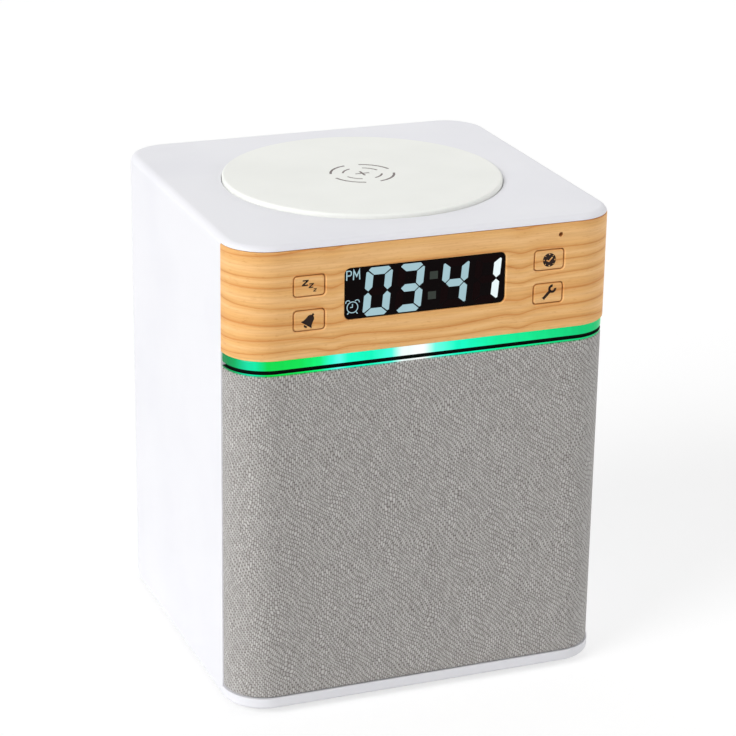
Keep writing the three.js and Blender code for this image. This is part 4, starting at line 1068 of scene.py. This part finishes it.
@dataclass
class FrontFascia:
    """The wood-finish fascia with its cut-outs, its keys and what is marked on them."""

    footprint: Footprint
    thickness: float = 2.2 * MM
    edge: float = 0.25 * MM
    key_edge: float = 0.36 * MM
    key_sunk: float = 0.05 * MM
    hole_gap: float = 0.2 * MM
    flare: float = 0.25 * MM
    key_flange: float = 0.7 * MM
    key_corner: float = 0.7 * MM
    key_hole_corner: float = 0.9 * MM
    cap_deep: float = 2.5 * MM
    flange_deep: float = 3.3 * MM
    stem_r: float = 1.1 * MM
    stem_ease: float = 0.2 * MM
    window_flange: float = 1.2 * MM
    window_corner: float = 1.4 * MM
    pinhole_r: float = 0.55 * MM
    pinhole: tuple[float, float] = (30.5 * MM, 107.6 * MM)
    keys: tuple[str, ...] = ("snooze_key", "alarm_key", "clock_set_key", "settings_key")

    @property
    def face_y(self) -> float:
        """The fascia's front plane."""
        return -self.footprint.half_d

    def build(self) -> None:
        """Builds the fascia, the keys and the marks on the keys."""
        low, high = corners_of("front_fascia")
        turn = arc(self.edge, 0, 90, 3)
        upper = [(self.edge - x, high.z - self.edge + y) for x, y in turn]
        lower = [(self.edge - x, low.z + self.edge - y) for x, y in turn[::-1]]
        inner = [(self.thickness, high.z), (self.thickness, low.z)]
        profile = np.array(lower + upper + inner)
        fascia = self.footprint.carry(profile, Shape()).piece("wood_fascia", [TIMBER])
        cutters = [self._key_hole(key) for key in self.keys]
        cutters.append(self._window_hole())
        origin = Vector((self.pinhole[0], self.face_y, self.pinhole[1]))
        drill = [(0.0, 2 * MM), (self.pinhole_r, 2 * MM), (self.pinhole_r, -4 * MM), (0.0, -4 * MM)]
        cutters.append(turned(Shape(), drill, Facing.FRONT, origin, 24).piece("pinhole_cutter", [TIMBER]))
        cut(fascia, cutters, 32.0)
        finish_piece(flat_shading(fascia), "cabinet", "wood_finish", "front_fascia")
        for key in self.keys:
            self._key(key)

    def _flared(
        self, name: str, width: float, height: float, radius: float, origin: Vector
    ) -> bpy.types.Object:
        """A cutter whose mouth flares by the edge's size, so that the hole's edge is eased."""
        ahead, behind = 1 * MM, -6 * MM
        levels = [(ahead, -self.flare - ahead), (0.0, -self.flare), (-self.flare, 0.0), (behind, 0.0)]
        return loft(Shape(), width, height, radius, levels, Facing.FRONT, origin).piece(name, [TIMBER])

    def _key_hole(self, key: str) -> bpy.types.Object:
        """The hole that a key stands in."""
        centre = middle(key)
        width, height = self._key_size(key)
        origin = Vector((centre.x, self.face_y, centre.z))
        wider = 2 * self.hole_gap
        return self._flared("key_cutter", width + wider, height + wider, self.key_hole_corner, origin)

    def _key_size(self, key: str) -> tuple[float, float]:
        """A key cap's width and height: the node's box is that of its flange, wider on each side."""
        low, high = corners_of(key)
        return high.x - low.x - 2 * self.key_flange, high.z - low.z - 2 * self.key_flange

    def _window_hole(self) -> bpy.types.Object:
        """The hole that the display window shows in: the pane's flange is wider on each side."""
        low, high = corners_of("display_window")
        origin = Vector(((low.x + high.x) / 2, self.face_y, (low.z + high.z) / 2))
        width, height = high.x - low.x - 2 * self.window_flange, high.z - low.z - 2 * self.window_flange
        return self._flared("window_cutter", width, height, self.window_corner, origin)

    def _key(self, key: str) -> None:
        """A key: eased cap, flange and stem, and its sign."""
        low, high = corners_of(key)
        centre = middle(key)
        width, height = self._key_size(key)
        origin = Vector((centre.x, self.face_y + self.key_sunk, centre.z))
        shape = Shape()
        cap = edge_levels(0.0, self.key_edge, -self.cap_deep)
        loft(shape, width, height, self.key_corner, cap, Facing.FRONT, origin)
        flange = [(-self.cap_deep, 0.0), (-self.flange_deep, 0.0)]
        loft(shape, high.x - low.x, high.z - low.z, self.key_corner, flange, Facing.FRONT, origin)
        stem_end = low.y - high.y
        stem = [(0.0, -self.flange_deep), (self.stem_r, -self.flange_deep)]
        stem += [(self.stem_r, stem_end + self.stem_ease), (self.stem_r - self.stem_ease, stem_end)]
        stem += [(0.0, stem_end)]
        turned(shape, stem, Facing.FRONT, origin, 24)
        finish_piece(flat_shading(shape.piece(key + "_cap", [TIMBER])), key, "wood_finish", key)
        sign = getattr(self, "_" + key + "_sign")()
        finish_piece(inlay(key + "_sign", sign, INK, Facing.FRONT, origin), key, "wood_finish")
        if key == "clock_set_key":
            piece = inlay(key + "_hands", self._clock_hands(), TIMBER, Facing.FRONT, origin, 0.03 * MM, 0.0)
            finish_piece(piece, key, "wood_finish")

    def _clock_hands(self) -> list[np.ndarray]:
        """The hands and the hour marks left bare on the clock's face, larger at the quarters."""
        mark_r = 1.33
        figures = [ribbon([(-0.7, 0.0), (-0.12, -0.3), (0.72, 0.62)], 0.3)]
        for turn in range(0, 360, 45):
            size = 0.15 if turn % 90 == 0 else 0.1
            angle = math.radians(turn)
            figures.append(disc((mark_r * math.cos(angle), mark_r * math.sin(angle)), size))
        return figures

    def _snooze_key_sign(self) -> list[np.ndarray]:
        """Three slanted letters that fall and shrink to the right, as for sleep."""
        bar = np.array(
            [(0, 1), (1, 1), (1, 0.78), (0.42, 0.22), (1, 0.22), (1, 0), (0, 0), (0, 0.22),
             (0.58, 0.78), (0, 0.78)]
        )
        places = [(-1.75, 0.1, 1.35), (-0.2, -0.45, 1.05), (0.85, -1.35, 0.7)]
        lean = np.array([[1.0, 0.0], [0.18, 1.0]])
        return [bar @ lean * size + np.array([x, y]) for x, y, size in places]

    def _alarm_key_sign(self) -> list[np.ndarray]:
        """A hand bell, tipped to the left: a flared body, a knob and a clapper."""
        half = [(0.0, 1.45), (0.42, 1.35), (0.72, 0.95), (0.82, 0.25), (0.98, -0.35), (1.35, -0.85)]
        body = np.array(half + [(-x, y) for x, y in reversed(half[1:])])
        figures = [body, disc((0.0, 1.6), 0.24), bow((0.0, -1.0), 0.0, 0.42, 180, 360)]
        turn = math.radians(-34)
        matrix = np.array([[math.cos(turn), math.sin(turn)], [-math.sin(turn), math.cos(turn)]])
        return [(figure - np.array([0.0, 0.25])) @ matrix * 1.12 for figure in figures]

    def _clock_set_key_sign(self) -> list[np.ndarray]:
        """A clock's face: a full disc, on which the hands and the hour marks are left bare."""
        return [disc((0.0, 0.0), 1.58)]

    def _settings_key_sign(self) -> list[np.ndarray]:
        """An open-ended wrench, its jaw up to the right."""
        turn = math.radians(45)
        jaw = bow((1.4, 0.0), 0.42, 1.0, 38, 322)
        shaft = np.array([(0.7, 0.36), (0.7, -0.36), (-1.7, -0.33), (-1.7, 0.33)])
        tail = bow((-1.75, 0.0), 0.17, 0.47, 0, 360)
        matrix = np.array([[math.cos(turn), math.sin(turn)], [-math.sin(turn), math.cos(turn)]])
        return [figure @ matrix for figure in (jaw, shaft, tail)]


@dataclass
class Display:
    """The dark pane and the seven-segment time behind it."""

    face_y: float
    recess: float = 0.25 * MM
    flange: float = 1.35 * MM
    pane_corner: float = 1.25 * MM
    flange_corner: float = 1.4 * MM
    pane_edge: float = 0.12 * MM
    digit_w: float = 6.15
    digit_h: float = 11.0
    stroke: float = 1.7
    gap: float = 0.16
    lean_deg: float = 5.0

    def build(self) -> None:
        """Builds the pane, the lit and unlit segments, the colon and the two small signs."""
        low, high = corners_of("display_window")
        centre = (low + high) / 2
        origin = Vector((centre.x, self.face_y + self.recess, centre.z))
        width, height = high.x - low.x - 2 * self.flange, high.z - low.z - 2 * self.flange
        shape = Shape()
        pane = edge_levels(0.0, self.pane_edge, -2.1 * MM, 2)
        loft(shape, width, height, self.pane_corner, pane, Facing.FRONT, origin)
        flange = [(-2.05 * MM, 0.0), (-2.85 * MM, 0.0)]
        loft(shape, high.x - low.x, high.z - low.z, self.flange_corner, flange, Facing.FRONT, origin)
        finish_piece(shape.piece("window_pane", [PANE]), "cabinet", "window_pane", "display_window")
        self._time(origin)

    def _time(self, origin: Vector) -> None:
        """The digits, from the left: where each stands, in millimetres from the window's middle."""
        places = [(-14.35, "0"), (-6.85, "3"), (3.75, "4"), (11.45, "1")]
        wanted = {"0": "abcdef", "3": "abcdg", "4": "bcfg", "1": "bc"}
        lit: list[np.ndarray] = []
        unlit: list[np.ndarray] = []
        bright: list[np.ndarray] = []
        for x, digit in places:
            for name, figure in self._segments().items():
                moved = figure + np.array([x, -self.digit_h / 2])
                if digit == "1" and name in wanted[digit]:
                    bright.append(moved)
                elif name in wanted[digit]:
                    lit.append(moved)
                else:
                    unlit.append(moved)
        colon = [np.array([(-0.95, -0.9), (0.95, -0.9), (0.95, 0.9), (-0.95, 0.9)]) + np.array(p)
                 for p in ((1.85, 2.25), (1.5, -2.35))]
        pieces = [
            ("lit_segments", lit, SEGMENT), ("bright_segments", bright, SEGMENT_HOT),
            ("unlit_segments", unlit, SEGMENT_OFF), ("colon_dots", colon, COLON),
            ("window_signs", self._afternoon_sign() + self._alarm_sign(), SEGMENT),
        ]
        for name, figures, finish in pieces:
            piece = inlay(name, figures, finish, Facing.FRONT, origin, 0.015 * MM, 0.05 * MM)
            finish_piece(piece, "cabinet", "digit_filter")

    def _segments(self) -> dict[str, np.ndarray]:
        """The seven segments a to g, mitred at the corners and sheared by the lean."""
        w, h, s, g = self.digit_w, self.digit_h, self.stroke, self.gap
        c, m, k = 1.05, 0.5, 0.55
        top = np.array([(c, h), (w - c, h), (w - m, h - k), (w - s - g, h - s), (s + g, h - s), (m, h - k)])
        side = np.array(
            [(0, h - c), (k - 0.2, h - m - 0.35), (s, h - s - g),
             (s, h / 2 + s / 2 + g), (s / 2, h / 2 + g), (0, h / 2 + s / 2)]
        )
        bar = np.array(
            [(s / 2 + g, h / 2), (s + g, h / 2 + s / 2), (w - s - g, h / 2 + s / 2),
             (w - s / 2 - g, h / 2), (w - s - g, h / 2 - s / 2), (s + g, h / 2 - s / 2)]
        )
        flip_x, flip_y = np.array([-1, 1]), np.array([1, -1])
        over, up = np.array([w, 0]), np.array([0, h])
        figures = {
            "a": top, "d": top * flip_y + up, "f": side, "b": side * flip_x + over,
            "e": side * flip_y + up, "c": side * flip_x * flip_y + over + up, "g": bar,
        }
        shear = np.array([[1.0, 0.0], [math.tan(math.radians(self.lean_deg)), 1.0]])
        return {name: (figure - up / 2) @ shear + up / 2 for name, figure in figures.items()}

    def _afternoon_sign(self) -> list[np.ndarray]:
        """The two letters that mark an afternoon time."""
        thin = 0.26
        bowl = [(-17.75, 5.2), (-17.45, 4.95), (-17.45, 4.4), (-17.75, 4.15), (-18.4, 4.15)]
        stem = ribbon([(-18.5, 3.1), (-18.5, 5.2)] + bowl, thin)
        peaks = ribbon([(-16.95, 3.1), (-16.85, 5.2), (-16.2, 3.9), (-15.6, 5.2), (-15.5, 3.1)], thin)
        return [stem, peaks]

    def _alarm_sign(self) -> list[np.ndarray]:
        """A small alarm clock in line: ring, two bells, hands and feet."""
        x, y, thin = -17.1, -3.1, 0.2
        figures = [bow((x, y), 1.15, 1.35, 0, 180), bow((x, y), 1.15, 1.35, 180, 360)]
        figures += [ribbon([(x, y + 0.75), (x, y), (x - 0.55, y)], thin)]
        for side in (-1, 1):
            figures.append(bow((x + side * 1.05, y + 1.1), 0.42, 0.62, 90 - side * 100, 90 + side * 60))
            figures.append(ribbon([(x + side * 0.85, y - 1.1), (x + side * 1.2, y - 1.55)], thin))
        return figures


@dataclass
class LightBand:
    """The glowing guide between fascia and grille: a bright face, a dark groove and a thin lower line."""

    footprint: Footprint
    recess: float = 0.35 * MM
    depth: float = 2.6 * MM
    groove_deep: float = 0.75 * MM
    below: float = 0.35 * MM
    edge: float = 0.25 * MM
    ease: float = 0.1 * MM
    line_top: float = 0.42 * MM
    groove_low: float = 0.48 * MM
    groove_high: float = 1.2 * MM
    face_low: float = 1.3 * MM

    def build(self) -> None:
        """Carries the band's stepped profile along the front."""
        low, high = corners_of("light_band")
        bottom, top = low.z - self.below, high.z
        face, groove = self.recess, self.recess + self.groove_deep
        rise = arc(self.edge, 0, 90, 3)
        upper = [(face + self.edge - x, top - self.edge + y) for x, y in rise]
        profile = [(face, bottom + self.ease), (face, bottom + self.line_top)]
        profile += [(groove, bottom + self.groove_low), (groove, bottom + self.groove_high)]
        profile += [(face, bottom + self.face_low)]
        profile += upper + [(self.depth, top), (self.depth, bottom), (face + self.ease, bottom)]
        slots = np.zeros(len(profile), dtype=int)
        slots[1:4] = 1
        shape = self.footprint.carry(np.array(profile), Shape(), slots)
        guide = shape.piece("light_guide", [GUIDE, GUIDE_SHADOW])
        finish_piece(guide, "cabinet", "light_guide", "light_band")


@dataclass
class Grille:
    """The crepe cloth stretched over the grille frame, its edges turned in at the top and the bottom."""

    footprint: Footprint
    recess: float = 0.3 * MM
    thickness: float = 0.7 * MM
    edge: float = 0.5 * MM
    below: float = 0.15 * MM
    short: float = 0.05 * MM
    turn_in: float = 0.1 * MM

    def build(self) -> None:
        low, high = corners_of("grille_cloth")
        bottom, top = low.z - self.below, high.z - self.short
        turn = arc(self.edge, 0, 90, 5)
        outer = [(self.recess + self.edge - x, bottom + self.edge - y) for x, y in turn[::-1]]
        flat = np.linspace(bottom + self.edge, top - self.edge, 24)[1:-1]
        outer += [(self.recess, z) for z in flat]
        outer += [(self.recess + self.edge - x, top - self.edge + y) for x, y in turn]
        back = self.recess + self.thickness
        inner = [(back, top - self.turn_in), (back, bottom + self.turn_in)]
        shape = self.footprint.carry(np.array(outer + inner), Shape())
        weave = shape.piece("grille_weave", [CLOTH], 60.0)
        cloth = finish_piece(weave, "cabinet", "grille_fabric", "grille_cloth")
        length = float(self.footprint.front()[2][-1]) - math.pi * self.recess


@dataclass
class ChargingPad:
    """The round pad on top, with a soft rolled edge and a plain centring mark printed on it."""

    edge: float = 0.55 * MM
    sunk: float = 0.03 * MM

    def build(self) -> None:
        """Turns the pad and prints its mark: a broken ring round a small cross."""
        low, high = corners_of("charging_pad")
        radius = (high.x - low.x) / 2
        top = high.z - self.sunk
        roll = arc(self.edge, 0, 90, 8)
        origin = Vector(((low.x + high.x) / 2, (low.y + high.y) / 2, top))
        profile = [(0.0, low.z - top), (radius - 0.2 * MM, low.z - top), (radius, low.z - top + 0.2 * MM)]
        profile += [(radius - self.edge + x, y - self.edge) for x, y in roll]
        profile += [(radius * share, 0.0) for share in (0.75, 0.4, 0.0)]
        pad = turned(Shape(), profile, Facing.TOP, origin, 128).piece("pad_disc", [PAD])
        finish_piece(flat_shading(pad), "cabinet", "pad_rubber", "charging_pad")
        quarters, reach, line = (0, 90, 180, 270), 1.7, 0.5
        mark = [bow((0.0, 0.0), 7.1, 7.65, start + 14, start + 76) for start in quarters]
        mark += [bow((0.0, 0.0), 4.3, 4.75, start + 20, start + 70) for start in quarters]
        mark.append(ribbon([(-reach, 0.0), (reach, 0.0)], line))
        mark += [ribbon([(0.0, side * line / 2), (0.0, side * reach)], line) for side in (1, -1)]
        piece = inlay("pad_mark", mark, GREY_INK, Facing.TOP, origin, 0.02 * MM, 0.05 * MM)
        finish_piece(piece, "cabinet", "pad_rubber")


@dataclass
class RearPanel:
    """The recessed plate with the rear keys and sockets, and the plain signs beside them."""

    keys: tuple[str, ...] = ("mode_key", "volume_down_key", "volume_up_key")
    edge: float = 0.25 * MM
    corner: float = 1.85 * MM
    key_hole_r: float = 3.8 * MM
    power_hole_r: float = 3.9 * MM
    screw_r: float = 1.45 * MM
    screw_head_r: float = 2.65 * MM
    screw_head_deep: float = 1.4 * MM
    hole_ease: float = 0.15 * MM
    key_flange: float = 0.7 * MM
    flange_levels: tuple[float, float] = (-3.2 * MM, -2.4 * MM)
    stem_r: float = 1.1 * MM
    stem_ease: float = 0.2 * MM
    sign_drop_mm: float = 6.4

    def build(self) -> None:
        """Builds the plate with its holes, then the keys and signs."""
        low, high = corners_of("port_plate")
        origin = Vector(((low.x + high.x) / 2, high.y, (low.z + high.z) / 2))
        levels = edge_levels(0.0, self.edge, low.y - high.y)
        plate = loft(Shape(), high.x - low.x, high.z - low.z, self.corner, levels, Facing.REAR, origin)
        plate = plate.piece("port_panel", [SHELL])
        cutters = [self._round_cutter(middle(key), self.key_hole_r, high.y) for key in self.keys]
        cutters.append(self._round_cutter(middle("power_socket"), self.power_hole_r, high.y))
        for screw in ("port_screw_1", "port_screw_2"):
            centre = middle(screw)
            cutters.append(self._round_cutter(centre, self.screw_r, high.y))
            cutters.append(self._round_cutter(centre, self.screw_head_r, high.y, self.screw_head_deep))
        cutters.append(self._outlet_cutter(high.y))
        cut(plate, cutters, 32.0)
        finish_piece(flat_shading(plate), "cabinet", "white_shell", "port_plate")
        for key in self.keys:
            self._key(key, high.y)
        self._signs(high.y)

    def _round_cutter(
        self, centre: Vector, radius: float, face: float, depth: float = 6 * MM
    ) -> bpy.types.Object:
        """A round hole with an eased mouth."""
        ease, ahead = self.hole_ease, 1 * MM
        profile = [(0.0, ahead), (radius + ease + ahead, ahead), (radius, -ease)]
        profile += [(radius, -depth), (0.0, -depth)]
        origin = Vector((centre.x, face, centre.z))
        return turned(Shape(), profile, Facing.REAR, origin, 48).piece("round_cutter", [SHELL])

    def _outlet_cutter(self, face: float) -> bpy.types.Object:
        """The oblong hole that the charging outlet shows in."""
        low, high = corners_of("usb_socket")
        gap = 0.15 * MM
        origin = Vector(((low.x + high.x) / 2, face, (low.z + high.z) / 2))
        levels = [(1 * MM, -1.1 * MM), (-0.1 * MM, 0.0), (-6 * MM, 0.0)]
        width, height = high.x - low.x + 2 * gap, high.z - low.z + 2 * gap
        hole = loft(Shape(), width, height, 0.3 * MM, levels, Facing.REAR, origin)
        return hole.piece("outlet_cutter", [SHELL])

    def _key(self, key: str, face: float) -> None:
        """A rear key: a low dome on a round body, its flange and its stem, as one turned piece."""
        low, high = corners_of(key)
        origin = Vector((middle(key).x, face, middle(key).z))
        flange = (high.x - low.x) / 2
        radius, dome = flange - self.key_flange, high.y - face
        angles = np.radians(np.linspace(0, 90, 12))
        crown = [(radius * math.cos(a), dome * (0.35 + 0.65 * math.sin(a))) for a in angles]
        back = low.y - face
        under, over = self.flange_levels
        profile = [(0.0, back), (self.stem_r - self.stem_ease, back), (self.stem_r, back + self.stem_ease)]
        profile += [(self.stem_r, under), (flange, under), (flange, over), (radius, over)] + crown
        piece = turned(Shape(), profile, Facing.REAR, origin, 56).piece(key + "_dome", [SHELL])
        finish_piece(piece, key, "white_shell", key)

    def _signs(self, face: float) -> None:
        """Plain signs under the keys and sockets: power ring, minus, plus, a bolt and the polarity."""
        drop, line, thin = self.sign_drop_mm, 0.32, 0.26
        marks: list[np.ndarray] = []
        for key, kind in zip(self.keys, ("mode", "minus", "plus")):
            centre = middle(key)
            x, y = -centre.x / MM, -drop
            if kind == "mode":
                marks += [bow((x, y), 0.75, 1.0, 120, 420), ribbon([(x, y + 0.15), (x, y + 1.25)], thin)]
            else:
                marks.append(ribbon([(x - 0.95, y), (x + 0.95, y)], line))
            if kind == "plus":
                for side in (1, -1):
                    marks.append(ribbon([(x, y + side * line / 2), (x, y + side * 0.95)], line))
        power_x = -middle("power_socket").x / MM
        marks += [bow((power_x, -drop), 0.75, 1.0, 30, 330), disc((power_x, -drop), 0.36)]
        for near, far in ((-2.6, -1.2), (1.2, 2.6)):
            marks.append(ribbon([(power_x + near, -drop), (power_x + far, -drop)], thin))
        outlet_x = -middle("usb_socket").x / MM
        bolt = np.array([(0.25, 1.2), (-0.75, -0.15), (-0.1, -0.15), (-0.3, -1.2), (0.75, 0.25), (0.1, 0.25)])
        marks.append(bolt + np.array([outlet_x, -drop]))
        origin = Vector((0.0, face, middle("port_plate").z))
        finish_piece(inlay("port_signs", marks, GREY_INK, Facing.REAR, origin), "cabinet", "white_shell")


@dataclass
class Feet:
    """Four moulded rubber feet with a shallow round hollow in the sole."""

    names: tuple[str, ...] = ("foot_front_left", "foot_front_right", "foot_rear_left", "foot_rear_right")
    sole_ease: float = 0.5 * MM
    top_ease: float = 0.1 * MM
    hollow_r: float = 2.5 * MM
    hollow_floor_r: float = 2.2 * MM
    hollow_deep: float = 0.25 * MM

    def build(self) -> None:
        """Turns each foot about the upright line through its middle."""
        for name in self.names:
            low, high = corners_of(name)
            radius, height = (high.x - low.x) / 2, high.z - low.z
            origin = Vector(((low.x + high.x) / 2, (low.y + high.y) / 2, low.z))
            ease = arc(self.sole_ease, -90, 0, 6)
            profile = [(0.0, self.hollow_deep), (self.hollow_floor_r, self.hollow_deep), (self.hollow_r, 0.0)]
            profile += [(radius - self.sole_ease + x, self.sole_ease + y) for x, y in ease]
            profile += [(radius, height - self.top_ease), (radius - self.top_ease, height), (0.0, height)]
            piece = turned(Shape(), profile, Facing.TOP, origin, 64).piece(name + "_pad", [RUBBER])
            finish_piece(piece, "cabinet", "foot_rubber", name)


@dataclass
class Studio:
    """Camera, lamps, pale floor and a plain world."""

    azimuth: float = -0.375
    elevation: float = 0.3564
    roll: float = 0.0156
    distance: float = 607.66 * MM
    aim: tuple[float, float, float] = (2.168 * MM, 0.0, 64.12 * MM)
    lens_mm: float = 124.69
    world_light: float = 0.4

    def build(self) -> None:
        """Sets up the whole stage."""
        self._camera()
        self._lamps()
        self._floor()
        self._world()
        bpy.context.scene.view_settings.view_transform = "Standard"

    def _camera(self) -> None:
        """The camera looks along its own -Z at the aim, turned a little about that line."""
        a, e = self.azimuth, self.elevation
        back = Vector((math.sin(a) * math.cos(e), -math.cos(a) * math.cos(e), math.sin(e)))
        right = Vector((math.cos(a), math.sin(a), 0.0))
        up = back.cross(right)
        across = math.cos(self.roll) * right + math.sin(self.roll) * up
        upward = math.cos(self.roll) * up - math.sin(self.roll) * right
        place = Vector(self.aim) + self.distance * back
        data = bpy.data.cameras.new("camera")
        data.lens = self.lens_mm
        data.sensor_width = 36.0
        data.clip_start = 0.01
        camera = bpy.data.objects.new("camera", data)
        axes = Matrix((across, upward, back)).transposed()
        camera.matrix_world = Matrix.Translation(place) @ axes.to_4x4()
        bpy.context.scene.collection.objects.link(camera)
        bpy.context.scene.camera = camera

    def _lamps(self) -> None:
        """A large key from the left, a weak one from the right and one from behind."""
        self._sun("key_lamp", Vector((-0.80, -0.28, 0.53)), strength=2.12, spread_deg=32)
        self._sun("fill_lamp", Vector((0.95, -0.08, 0.25)), strength=0.9, spread_deg=40)
        self._sun("rear_lamp", Vector((0.2, 0.8, 0.5)), strength=0.25, spread_deg=60)

    def _sun(self, name: str, towards: Vector, strength: float, spread_deg: float) -> None:
        """A far lamp with a wide disc, which gives soft-edged light of even level."""
        data = bpy.data.lights.new(name, "SUN")
        data.energy = strength
        data.angle = math.radians(spread_deg)
        lamp = bpy.data.objects.new(name, data)
        lamp.rotation_euler = towards.to_track_quat("Z", "Y").to_euler()
        bpy.context.scene.collection.objects.link(lamp)

    def _floor(self) -> None:
        """A pale floor: near white to the camera, with the object's shadow, and plain paint to all else."""
        shape = Shape()
        side = 30.0
        corners = [[(x, y, 0.0) for x in (-side, side)] for y in (-side, side)]
        floor = shape.sheet(np.array(corners)).piece("floor", [Finish("floor_paint", "F2F2F2", 0.9)])
        tree = floor.data.materials[0].node_tree
        output = next(n for n in tree.nodes if n.type == "OUTPUT_MATERIAL")
        plain = output.inputs["Surface"].links[0].from_socket
        rays = add(tree, "ShaderNodeLightPath")
        shadowed, own_light = (0.34, 0.34, 0.34, 1.0), (0.71, 0.71, 0.71, 1.0)
        dull = add(tree, "ShaderNodeBsdfDiffuse", inputs={"Color": shadowed})
        shine = add(tree, "ShaderNodeEmission", inputs={"Color": own_light, "Strength": 1.0})
        both = add(tree, "ShaderNodeAddShader", inputs={0: dull, 1: shine})
        seen = add(tree, "ShaderNodeMixShader", inputs={0: rays.outputs["Is Camera Ray"], 1: plain, 2: both})
        feed(tree, output, {"Surface": seen})

    def _world(self) -> None:
        """White where the camera, mirrors or glass look, and a softer grey as a source of light."""
        world = bpy.data.worlds.new("studio")
        bpy.context.scene.world = world
        world.use_nodes = True
        tree = world.node_tree
        tree.nodes.clear()
        rays = add(tree, "ShaderNodeLightPath")
        largest, full = {"operation": "MAXIMUM"}, linear("FFFFFF")
        eye_or_mirror = {0: rays.outputs["Is Camera Ray"], 1: rays.outputs["Is Glossy Ray"]}
        seen = add(tree, "ShaderNodeMath", largest, eye_or_mirror)
        clear = add(tree, "ShaderNodeMath", largest, {0: seen, 1: rays.outputs["Is Transmission Ray"]})
        light = add(tree, "ShaderNodeBackground", inputs={"Color": full, "Strength": self.world_light})
        white = add(tree, "ShaderNodeBackground", inputs={"Color": full, "Strength": 1.0})
        mixed = add(tree, "ShaderNodeMixShader", inputs={0: clear, 1: light, 2: white})
        add(tree, "ShaderNodeOutputWorld", inputs={"Surface": mixed})


def dress_nodes(frame: dict) -> None:
    """Gives every node of the solid model the finish of its material slot."""
    slots = {row["node"]: row["material_slot"] for row in frame["record"]["subparts"]}
    for name, node in frame["nodes"].items():
        material = NODE_FINISH[slots[name]].material()
        if node.data.materials:
            for place in node.material_slots:
                place.material = material
        else:
            node.data.materials.append(material)


def main() -> None:
    """Builds the looks round the frame, in order."""
    logging.basicConfig(level=logging.INFO)
    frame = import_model()
    dress_nodes(frame)
    Studio().build()
    low, high = corners_of("casing")
    footprint = Footprint((high.x - low.x) / 2, (high.y - low.y) / 2, CABINET_CORNER)
    CabinetShell(footprint, low, high).build()
    FrontFascia(footprint).build()
    Display(low.y).build()
    LightBand(footprint).build()
    Grille(footprint).build()
    ChargingPad().build()
    RearPanel().build()
    Feet().build()


if __name__ == "__main__":
    main()
